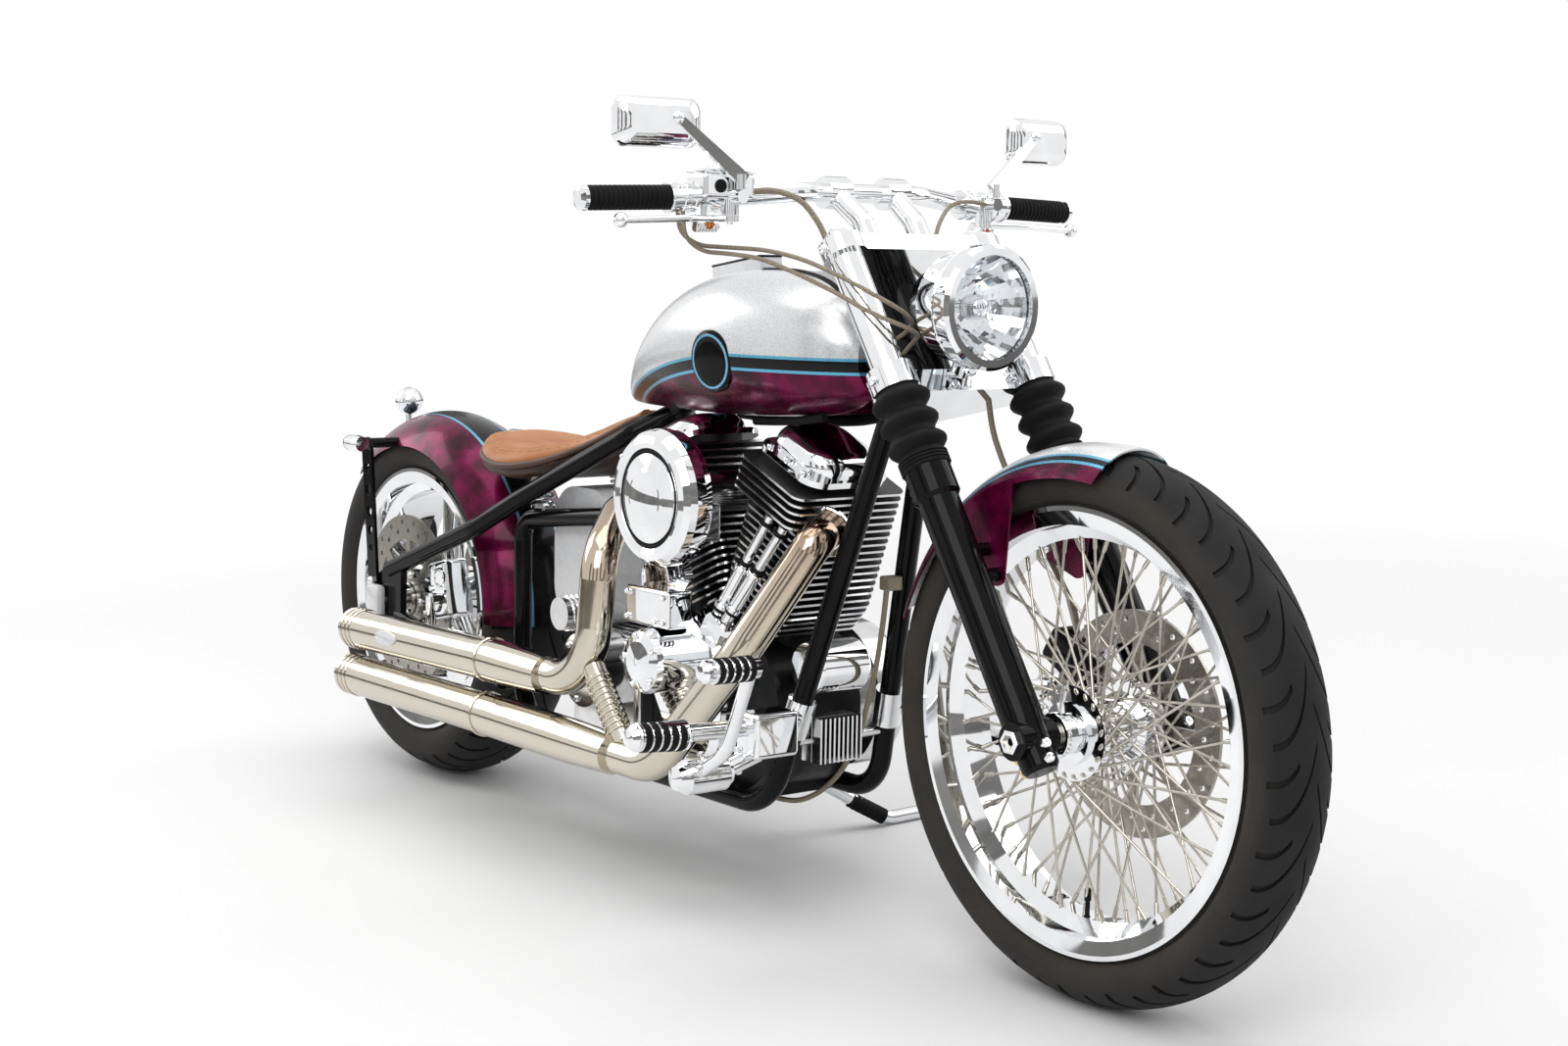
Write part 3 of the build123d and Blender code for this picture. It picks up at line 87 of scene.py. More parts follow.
def parked_matrix() -> Matrix:
    """Place the upright bike as it is stored, leaning on its stand.

    Returns:
        The matrix from upright bike coordinates, in metres, to the shared frame.
    """
    lean = Matrix.Rotation(math.radians(-LEAN_DEG), 4, "X")
    spin = next(j for j in frame["joints"] if j["name"] == "rear_wheel_spin")
    hub = lean @ Vector((0, 0, REAR_RADIUS * MM))
    return Matrix.Translation(Vector(spin["pos_m"]) - hub) @ lean


PARKED = parked_matrix()
PLACE = PARKED @ Matrix.Scale(MM, 4)


def fork_point(up: float, side: float = 0.0, ahead: float = 0.0) -> Vector:
    """Point up the fork legs from the axle, sideways, and ahead of the legs."""
    return FRONT_AXLE + FORK_UP * up + LEFT * side + FORK_AHEAD * ahead


def wheel_point(axle: Vector, radius: float, angle: float, side: float) -> Vector:
    """Point on a wheel, with its angle in degrees above the forward line."""
    turn = math.radians(angle)
    return axle + Vector((radius * math.cos(turn), side, radius * math.sin(turn)))


def bank_axis(bank: int) -> Vector:
    """Unit vector up a cylinder; bank is 1 for the front one and -1 for the rear."""
    tilt = math.radians(BANK_DEG)
    return Vector((bank * math.sin(tilt), 0, math.cos(tilt)))


def bank_point(bank: int, along: float, out: float = 0.0, side: float = 0.0) -> Vector:
    """Point beside a cylinder's axis.

    Args:
        bank: 1 for the front cylinder and -1 for the rear one.
        along: distance up the axis from the crank.
        out: distance square to the axis, away from the middle of the engine.
        side: distance to the left.

    Returns:
        The point on the upright bike.
    """
    tilt = math.radians(BANK_DEG)
    cross = Vector((bank * math.cos(tilt), 0, -math.sin(tilt)))
    return CRANK + bank_axis(bank) * along + cross * out + LEFT * side


def grip_axis(side: int) -> Vector:
    """Unit vector outward along a grip."""
    along = (BAR_END - BAR_KNEE).normalized()
    return Vector((along.x, side * along.y, along.z))


def bar_point(side: int, from_end: float, ahead: float = 0.0, up: float = 0.0) -> Vector:
    """Point on the straight outer part of the bar, counted inward from its end."""
    end = Vector((BAR_END.x, side * BAR_END.y, BAR_END.z))
    return end - grip_axis(side) * from_end + AHEAD * ahead + UP * up


def aim(at: Point, along: Point = UP) -> Matrix:
    """Matrix that carries the z axis onto a direction and the origin to a point.

    Args:
        at: where the origin goes.
        along: where the z axis points.

    Returns:
        The placing matrix.
    """
    face = Vector(along).to_track_quat("Z", "Y").to_matrix().to_4x4()
    return Matrix.Translation(Vector(at)) @ face


class Bench:
    """Hand-modelling moves with Blender's operators, in millimetres on the upright bike."""

    @staticmethod
    def only(piece: Piece) -> None:
        """Select one object and nothing else.

        Args:
            piece: the object, which also becomes the active one.
        """
        bpy.ops.object.select_all(action="DESELECT")
        piece.select_set(True)
        bpy.context.view_layer.objects.active = piece

    @staticmethod
    def chain(name: str, points: Sequence[Point], closed: bool = False) -> Piece:
        """Edge chain drawn by extruding one vertex from point to point.

        Args:
            name: name of the new object.
            points: corners of the chain.
            closed: True to join the last point to the first.

        Returns:
            The new object, left in edit mode with everything selected.
        """
        bpy.ops.object.select_all(action="DESELECT")
        bpy.ops.mesh.primitive_plane_add(size=1)
        piece = bpy.context.object
        piece.name = name
        bpy.ops.object.mode_set(mode="EDIT")
        bpy.ops.mesh.select_mode(type="VERT")
        bpy.ops.mesh.select_all(action="SELECT")
        bpy.ops.mesh.merge(type="CENTER")
        bpy.ops.transform.translate(value=Vector(points[0]))
        rows = list(points) + ([points[0]] if closed else [])
        for start, end in zip(rows, rows[1:]):
            bpy.ops.mesh.extrude_region_move(TRANSFORM_OT_translate={"value": Vector(end) - Vector(start)})
        bpy.ops.mesh.select_all(action="SELECT")
        bpy.ops.mesh.remove_doubles(threshold=0.001)
        return piece

    @staticmethod
    def lathe(name: str, profile: Sequence[Point], steps: int = 40) -> Piece:
        """Turn a (radius, height) profile about the z axis.

        Args:
            name: name of the new object.
            profile: points of half the section.
            steps: number of sides.

        Returns:
            The turned object.
        """
        piece = Bench.chain(name, [(radius, 0, height) for radius, height in profile])
        bpy.ops.mesh.spin(steps=steps, angle=2 * math.pi, center=(0, 0, 0), axis=(0, 0, 1))
        Bench.close()
        return piece

    @staticmethod
    def close() -> None:
        """Merge doubles, turn the faces outward and leave edit mode."""
        bpy.ops.mesh.select_all(action="SELECT")
        bpy.ops.mesh.remove_doubles(threshold=0.01)
        bpy.ops.mesh.normals_make_consistent(inside=False)
        bpy.ops.object.mode_set(mode="OBJECT")

    @staticmethod
    def plate(name: str, outline: Sequence[Point], thick: float, edge: float) -> Piece:
        """Flat plate from a closed (x, y) outline, rising along z.

        Args:
            name: name of the new object.
            outline: corners of the plate.
            thick: thickness.
            edge: width of the rounded edges.

        Returns:
            The plate.
        """
        piece = Bench.chain(name, [(x, y, 0) for x, y in outline], closed=True)
        bpy.ops.mesh.edge_face_add()
        bpy.ops.mesh.extrude_region_move(TRANSFORM_OT_translate={"value": (0, 0, thick)})
        Bench.close()
        Bench.bevel(piece, edge)
        return piece

    @staticmethod
    def brick(name: str, size: Point, edge: float) -> Piece:
        """Box with rounded edges about the origin.

        Args:
            name: name of the new object.
            size: its three sizes.
            edge: width of the rounded edges.

        Returns:
            The box.
        """
        bpy.ops.object.select_all(action="DESELECT")
        bpy.ops.mesh.primitive_cube_add(size=1, scale=size)
        piece = bpy.context.object
        piece.name = name
        bpy.ops.object.transform_apply(location=True, rotation=True, scale=True)
        Bench.bevel(piece, edge)
        return piece

    @staticmethod
    def bevel(piece: Piece, width: float) -> None:
        """Round the sharp edges of a piece.

        Args:
            piece: the mesh to change.
            width: width of the rounding.
        """
        Bench.only(piece)
        tool = piece.modifiers.new("edges", "BEVEL")
        tool.width = width
        tool.segments = 2
        tool.limit_method = "ANGLE"
        bpy.ops.object.modifier_apply(modifier=tool.name)

    @staticmethod
    def wire(name: str, points: Sequence[Point], radius: float, cyclic: bool = False,
             sides: int = 3) -> Piece:
        """Round wire along a smooth curve through control points.

        Args:
            name: name of the new object.
            points: five or more control points.
            radius: half thickness.
            cyclic: True for a closed loop.
            sides: fineness of the round section.

        Returns:
            The wire as a mesh.
        """
        bpy.ops.object.select_all(action="DESELECT")
        bpy.ops.curve.primitive_nurbs_path_add()
        piece = bpy.context.object
        piece.name = name
        spline = piece.data.splines[0]
        spline.points.add(len(points) - len(spline.points))
        for knot, point in zip(spline.points, points):
            knot.co = (*point, 1.0)
        spline.use_cyclic_u = cyclic
        spline.order_u = 3
        spline.use_endpoint_u = not cyclic
        piece.data.resolution_u = 5
        piece.data.bevel_depth = radius
        piece.data.bevel_resolution = sides
        piece.data.use_fill_caps = not cyclic
        bpy.ops.object.convert(target="MESH")
        return bpy.context.object

    @staticmethod
    def put(piece: Piece, matrix: Matrix) -> Piece:
        """Move a piece's mesh by a matrix."""
        piece.data.transform(matrix)
        return piece

    @staticmethod
    def copies(piece: Piece, spots: Iterable[Matrix]) -> Piece:
        """Copy a piece to many places, each with its own mesh, and join the copies.

        Args:
            piece: the modelled piece, used up as the first copy.
            spots: one matrix for each copy.

        Returns:
            The joined object.
        """
        rows = list(spots)
        made = []
        for matrix in rows[1:]:
            twin = piece.copy()
            twin.data = piece.data.copy()
            twin.data.transform(matrix)
            bpy.context.collection.objects.link(twin)
            made.append(twin)
        piece.data.transform(rows[0])
        return Bench.join(piece, made)

    @staticmethod
    def join(piece: Piece, others: Sequence[Piece]) -> Piece:
        """Join other pieces into one.

        Args:
            piece: the piece that takes in the others.
            others: the pieces that are used up.

        Returns:
            The first piece.
        """
        if others:
            Bench.only(piece)
            for other in others:
                other.select_set(True)
            bpy.ops.object.join()
        return piece

    @staticmethod
    def sink(piece: Piece, chosen: Callable[[Vector], bool], depth: float) -> None:
        """Press the chosen faces in along their normals.

        Args:
            piece: the mesh to change.
            chosen: test of a face's centre.
            depth: how far they sink.
        """
        Bench.only(piece)
        bpy.ops.object.mode_set(mode="EDIT")
        bpy.ops.mesh.select_mode(type="FACE")
        bpy.ops.mesh.select_all(action="DESELECT")
        bpy.ops.object.mode_set(mode="OBJECT")
        for face in piece.data.polygons:
            face.select = chosen(face.center)
        bpy.ops.object.mode_set(mode="EDIT")
        bpy.ops.mesh.extrude_region_shrink_fatten(TRANSFORM_OT_shrink_fatten={"value": -depth})
        bpy.ops.object.mode_set(mode="OBJECT")

    @staticmethod
    def done(piece: Piece, body: Body, finish: str, slot: str = "", replaces: Sequence[str] = (),
             angle: float = 40.0) -> None:
        """Carry a piece into the shared frame, dress it and say what it rides on.

        Args:
            piece: finished mesh, in millimetres on the upright bike.
            body: the body it rides on.
            finish: name of its finish.
            slot: the record's material slot, where the finish isn't named like it; not used.
            replaces: CAD nodes that it stands in for.
            angle: steepest edge that is still shaded smooth, in degrees.
        """
        piece.data.transform(PLACE)
        Bench.only(piece)
        bpy.ops.object.shade_smooth_by_angle(angle=math.radians(angle))
        PALETTE.dress(piece, finish)
        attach(piece, body.value)
        if replaces:
            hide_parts(*replaces)
        LOG.info("%s: %d faces", piece.name, len(piece.data.polygons))

    @staticmethod
    def spread(piece: Piece, spots: Iterable[Matrix], body: Body, finish: str, slot: str = "",
               replaces: Sequence[str] = (), angle: float = 40.0) -> None:
        """Copy a piece to many places and finish the copies as one.

        Args:
            piece: the modelled piece.
            spots: one matrix for each copy.
            body: the body they ride on.
            finish: name of their finish.
            slot: the record's material slot, where the finish isn't named like it; not used.
            replaces: CAD nodes that they stand in for.
            angle: steepest edge that is still shaded smooth, in degrees.
        """
        Bench.done(Bench.copies(piece, spots), body, finish, slot, replaces, angle)


class Net:
    """Small helper round one material's node tree."""

    def __init__(self, name: str) -> None:
        """Start an empty material with a principled shader.

        Args:
            name: name of the new material.
        """
        self.material = bpy.data.materials.new(name)
        self.material.use_nodes = True
        self.tree = self.material.node_tree
        self.shader = self.tree.nodes["Principled BSDF"]

    def add(self, kind: str, **settings: object) -> bpy.types.Node:
        """Add a node and set its plain attributes.

        Args:
            kind: Blender's node type name, without its ShaderNode prefix.
            **settings: attributes of the node.

        Returns:
            The new node.
        """
        node = self.tree.nodes.new("ShaderNode" + kind)
        for key, value in settings.items():
            setattr(node, key, value)
        return node

    def link(self, source: Socket, target: Socket) -> None:
        """Join two sockets."""
        self.tree.links.new(source, target)

    def place(self, upright: bool = False, scale: Triple = (1, 1, 1)) -> Socket:
        """Coordinates in the shared frame, or in the upright bike's own frame.

        Args:
            upright: True to undo the lean.
            scale: stretch of the pattern along the three axes.

        Returns:
            A vector socket.
        """
        source = self.add("TexCoord").outputs["Object"]
        if upright:
            shift = self.vector("SUBTRACT", source, PARKED.translation)
            turn = self.add("Mapping")
            turn.inputs["Rotation"].default_value = (math.radians(LEAN_DEG), 0, 0)
            self.link(shift.outputs[0], turn.inputs["Vector"])
            source = turn.outputs[0]
        grow = self.add("Mapping")
        grow.inputs["Scale"].default_value = scale
        self.link(source, grow.inputs["Vector"])
        return grow.outputs[0]

    def noise(self, where: Socket, scale: float, detail: float = 3.0) -> Socket:
        """Noise of a given fineness.

        Args:
            where: coordinates.
            scale: number of spots in a metre, about.
            detail: number of finer layers.

        Returns:
            A socket from 0 to 1.
        """
        node = self.add("TexNoise")
        node.inputs["Scale"].default_value = scale
        node.inputs["Detail"].default_value = detail
        self.link(where, node.inputs["Vector"])
        return node.outputs["Fac"]

    def remap(self, value: Socket, low: float, high: float,
              out_low: float, out_high: float) -> Socket:
        """Carry a value from one span to another.

        Args:
            value: the socket to carry over.
            low: start of its span.
            high: end of its span.
            out_low: result at the start.
            out_high: result at the end.

        Returns:
            The result's socket, held inside the new span.
        """
        node = self.add("MapRange")
        for index, number in enumerate((low, high, out_low, out_high), start=1):
            node.inputs[index].default_value = number
        self.link(value, node.inputs[0])
        return node.outputs[0]

    def split(self, where: Socket) -> bpy.types.Node:
        """Take a vector apart.

        Args:
            where: the vector.

        Returns:
            A node with outputs X, Y and Z.
        """
        node = self.add("SeparateXYZ")
        self.link(where, node.inputs[0])
        return node

    def vector(self, operation: str, first: Socket, second: Point = (0, 0, 0)) -> bpy.types.Node:
        """Arithmetic of a vector socket with a plain vector.

        Args:
            operation: Blender's name of the operation.
            first: the socket.
            second: the plain vector, where the operation takes one.

        Returns:
            The node, with a single number in its Value output.
        """
        node = self.add("VectorMath", operation=operation)
        self.link(first, node.inputs[0])
        node.inputs[1].default_value = tuple(second)
        return node

    def math(self, operation: str, first: object, second: object = 0.0) -> Socket:
        """Arithmetic on sockets or plain numbers.

        Args:
            operation: Blender's name of the operation.
            first: socket or number.
            second: socket or number.

        Returns:
            The result's socket.
        """
        node = self.add("Math", operation=operation)
        for slot, value in enumerate((first, second)):
            if isinstance(value, Socket):
                self.link(value, node.inputs[slot])
            else:
                node.inputs[slot].default_value = value
        return node.outputs[0]

    def mix(self, factor: Socket, first: object, second: object) -> Socket:
        """Blend two colours.

        Args:
            factor: socket from 0 to 1.
            first: colour or socket at 0.
            second: colour or socket at 1.

        Returns:
            The blended colour's socket.
        """
        node = self.add("Mix", data_type="RGBA")
        self.link(factor, node.inputs["Factor"])
        for label, value in (("A", first), ("B", second)):
            target = next(s for s in node.inputs if s.name == label and s.type == "RGBA")
            if isinstance(value, Socket):
                self.link(value, target)
            else:
                target.default_value = (*value, 1.0)
        return next(s for s in node.outputs if s.type == "RGBA")

    def bump(self, height: Socket, distance: float, strength: float = 1.0) -> None:
        """Feed a height into the shader's normal.

        Args:
            height: the relief.
            distance: metres that one unit of height stands for.
            strength: share of the effect.
        """
        node = self.add("Bump")
        node.inputs["Distance"].default_value = distance
        node.inputs["Strength"].default_value = strength
        self.link(height, node.inputs["Height"])
        self.link(node.outputs[0], self.shader.inputs["Normal"])

    def set(self, **values: object) -> None:
        """Set plain shader values, with underscores for the spaces in their names."""
        for key, value in values.items():
            self.shader.inputs[key.replace("_", " ")].default_value = value

    def colour(self, socket: Socket) -> None:
        """Feed the base colour."""
        self.link(socket, self.shader.inputs["Base Color"])

    def rough(self, socket: Socket) -> None:
        """Feed the roughness."""
        self.link(socket, self.shader.inputs["Roughness"])


@dataclass(frozen=True)
class Metal:
    """Bare or plated metal with faint smears."""

    name: str
    bright: Triple
    dull: Triple
    roughness: tuple[float, float]
    grain: float = 24.0

    def build(self) -> bpy.types.Material:
        """Make the material.

        Returns:
            The new material.
        """
        net = Net(self.name)
        where = net.place()
        smear = net.noise(where, self.grain, 5)
        net.colour(net.mix(net.remap(smear, 0.35, 0.75, 0, 1), self.bright, self.dull))
        net.rough(net.remap(smear, 0.3, 0.8, *self.roughness))
        net.set(Metallic=1.0)
        return net.material


@dataclass(frozen=True)
class Brushed:
    """Metal with fine scratches along one axis."""

    name: str
    bright: Triple
    dull: Triple
    roughness: tuple[float, float]
    stretch: Triple

    def build(self) -> bpy.types.Material:
        """Make the material.

        Returns:
            The new material.
        """
        net = Net(self.name)
        lines = net.noise(net.place(scale=self.stretch), 1.0, 4)
        net.colour(net.mix(lines, self.bright, self.dull))
        net.rough(net.remap(lines, 0.3, 0.7, *self.roughness))
        net.set(Metallic=1.0)
        net.bump(lines, 0.0002, 0.4)
        return net.material


@dataclass(frozen=True)
class Gloss:
    """Glossy paint with a clear coat and slight waviness."""

    name: str
    base: Triple
    shade: Triple
    roughness: float = 0.18
    coat: float = 1.0
    specular: float = 0.5

    def build(self) -> bpy.types.Material:
        """Make the material.

        Returns:
            The new material.
        """
        net = Net(self.name)
        cloud = net.noise(net.place(), 14.0, 4)
        net.colour(net.mix(net.remap(cloud, 0.35, 0.7, 0, 1), self.base, self.shade))
        ripple = net.noise(net.place(), 60.0)
        net.rough(net.remap(ripple, 0.3, 0.7, self.roughness * 0.8, self.roughness * 1.2))
        net.set(Coat_Weight=self.coat, Coat_Roughness=0.03, Specular_IOR_Level=self.specular)
        return net.material


@dataclass(frozen=True)
class Rubber:
    """Matt rubber with dust in patches and a fine grain."""

    name: str
    base: Triple
    dust: Triple
    roughness: tuple[float, float] = (0.55, 0.8)
    grain: float = 900.0

    def build(self) -> bpy.types.Material:
        """Make the material.

        Returns:
            The new material.
        """
        net = Net(self.name)
        patch = net.noise(net.place(), 9.0, 6)
        net.colour(net.mix(net.remap(patch, 0.45, 0.75, 0, 1), self.base, self.dust))
        net.rough(net.remap(patch, 0.3, 0.7, *self.roughness))
        net.bump(net.noise(net.place(), self.grain, 2), 0.0004, 0.5)
        net.set(Specular_IOR_Level=0.14)
        return net.material


@dataclass(frozen=True)
class Glass:
    """Clear glass with a trace of dust."""

    name: str
    tint: Triple

    def build(self) -> bpy.types.Material:
        """Make the material.

        Returns:
            The new material.
        """
        net = Net(self.name)
        dust = net.noise(net.place(), 40.0, 4)
        net.rough(net.remap(dust, 0.3, 0.8, 0.0, 0.05))
        net.set(Base_Color=(*self.tint, 1.0), Transmission_Weight=1.0, IOR=1.45)
        return net.material


@dataclass(frozen=True)
class TyreWall:
    """Tyre rubber: dark tread, dusty brown-grey walls with fine rings round the axle."""

    name: str
    axle: Triple
    wall_top: float
    tread: Triple = (0.011, 0.0105, 0.0105)
    wall: Triple = (0.02, 0.018, 0.016)
    dust: Triple = (0.042, 0.035, 0.028)

    def build(self) -> bpy.types.Material:
        """Make the material.

        Returns:
            The new material.
        """
        net = Net(self.name)
        split = net.split(net.place(upright=True))
        across = net.math("SUBTRACT", split.outputs["X"], self.axle[0] * MM)
        above = net.math("SUBTRACT", split.outputs["Z"], self.axle[2] * MM)
        squares = [net.math("POWER", part, 2.0) for part in (across, above)]
        reach = net.math("SQRT", net.math("ADD", *squares))
        patch = net.noise(net.place(), 11.0, 6)
        walls = net.mix(net.remap(patch, 0.4, 0.75, 0, 1), self.wall, self.dust)
        on_tread = net.remap(reach, self.wall_top * MM - 0.012, self.wall_top * MM + 0.006, 0, 1)
        net.colour(net.mix(on_tread, walls, self.tread))
        net.rough(net.remap(patch, 0.3, 0.7, 0.62, 0.85))
        rings = net.math("SINE", net.math("MULTIPLY", reach, 2300.0))
        worn = net.math("MULTIPLY", rings, net.math("SUBTRACT", 1.0, on_tread))
        grain = net.noise(net.place(), 700.0, 2)
        net.bump(net.math("ADD", net.math("MULTIPLY", worn, 0.35), grain), 0.0006, 0.6)
        net.set(Specular_IOR_Level=0.3)
        return net.material


@dataclass(frozen=True)
class Fins:
    """Black cylinders whose fin edges are polished bare."""

    name: str
    black: Triple = (0.012, 0.012, 0.013)
    bare: Triple = (0.72, 0.72, 0.73)
    core: float = 0.058

    def build(self) -> bpy.types.Material:
        """Make the material.

        Returns:
            The new material.
        """
        net = Net(self.name)
        where = net.place(upright=True)
        front = net.math("GREATER_THAN", net.split(where).outputs["X"], CRANK.x * MM)
        edges = [self.edge(net, where, bank) for bank in (-1, 1)]
        chosen = net.math("ADD", net.math("MULTIPLY", edges[1], front),
                          net.math("MULTIPLY", edges[0], net.math("SUBTRACT", 1.0, front)))
        net.colour(net.mix(chosen, self.black, self.bare))
        net.link(chosen, net.shader.inputs["Metallic"])
        cast = net.noise(net.place(), 420.0, 3)
        net.rough(net.math("ADD", net.math("MULTIPLY", chosen, -0.22), net.remap(cast, 0.3, 0.7, 0.36, 0.46)))
        net.bump(cast, 0.0003, 0.4)
        return net.material

    def edge(self, net: Net, where: Socket, bank: int) -> Socket:
        """Mask of the outer edges of one cylinder's fins.

        Args:
            net: the material's node tree.
            where: coordinates on the upright bike.
            bank: 1 for the front cylinder and -1 for the rear one.

        Returns:
            A socket that is one on the edges and zero elsewhere.
        """
        axis = bank_axis(bank)
        normal = net.add("NewGeometry").outputs["Normal"]
        slope = net.vector("DOT_PRODUCT", normal, PARKED.to_3x3() @ axis)
        flat = net.math("LESS_THAN", net.math("ABSOLUTE", slope.outputs["Value"]), 0.45)
        from_crank = net.vector("SUBTRACT", where, CRANK * MM)
        around = net.vector("CROSS_PRODUCT", from_crank.outputs[0], axis)
        reach = net.vector("LENGTH", around.outputs[0])
        return net.math("MULTIPLY", flat, net.math("GREATER_THAN", reach.outputs["Value"], self.core))


@dataclass(frozen=True)
class HeatTint:
    """Polished stainless, straw and brown where it leaves the heads."""

    name: str
    steel: Triple = (0.62, 0.575, 0.49)
    straw: Triple = (0.54, 0.45, 0.35)
    brown: Triple = (0.32, 0.22, 0.16)

    def build(self) -> bpy.types.Material:
        """Make the material.

        Returns:
            The new material.
        """
        net = Net(self.name)
        split = net.split(net.place(upright=True))
        drift = net.math("MULTIPLY", net.noise(net.place(), 14.0, 4), 0.09)
        height = net.math("ADD", split.outputs["Z"], drift)
        warm = net.mix(net.remap(height, 0.4, 0.52, 0, 1), self.steel, self.straw)
        net.colour(net.mix(net.remap(height, 0.55, 0.62, 0, 1), warm, self.brown))
        smear = net.noise(net.place(), 30.0, 5)
        net.rough(net.remap(smear, 0.3, 0.75, 0.06, 0.17))
        net.set(Metallic=1.0)
        return net.material


@dataclass(frozen=True)
class Hide:
    """Leather with pebbled grain, creases and a burnished tone."""

    name: str
    pale: Triple
    dark: Triple
    roughness: tuple[float, float] = (0.36, 0.56)

    def build(self) -> bpy.types.Material:
        """Make the material.

        Returns:
            The new material.
        """
        net = Net(self.name)
        where = net.place()
        patch = net.noise(where, 13.0, 6)
        net.colour(net.mix(net.remap(patch, 0.35, 0.72, 0, 1), self.pale, self.dark))
        pebble = net.add("TexVoronoi", feature="DISTANCE_TO_EDGE")
        pebble.inputs["Scale"].default_value = 520.0
        net.link(where, pebble.inputs["Vector"])
        net.rough(net.remap(patch, 0.3, 0.7, *self.roughness))
        grain = net.math("MINIMUM", pebble.outputs["Distance"], 0.18)
        crease = net.math("MULTIPLY", net.noise(where, 60.0, 6), 0.5)
        net.bump(net.math("ADD", grain, crease), 0.0007, 0.55)
        return net.material


@dataclass(frozen=True)
class Braid:
    """Woven sleeve on a hose or cable."""

    name: str
    pale: Triple
    dark: Triple
    metallic: float

    def build(self) -> bpy.types.Material:
        """Make the material.

        Returns:
            The new material.
        """
        net = Net(self.name)
        weave = net.add("TexVoronoi", feature="DISTANCE_TO_EDGE")
        weave.inputs["Scale"].default_value = 640.0
        net.link(net.place(), weave.inputs["Vector"])
        thread = net.remap(weave.outputs["Distance"], 0.0, 0.3, 0, 1)
        net.colour(net.mix(thread, self.dark, self.pale))
        net.rough(net.remap(thread, 0, 1, 0.6, 0.32))
        net.set(Metallic=self.metallic)
        net.bump(thread, 0.0005, 0.8)
        return net.material


class Panel(Enum):
    """Which panel a striped paint is laid out for."""

    TANK = "tank"
    FRONT_FENDER = "front fender"
    REAR_FENDER = "rear fender"


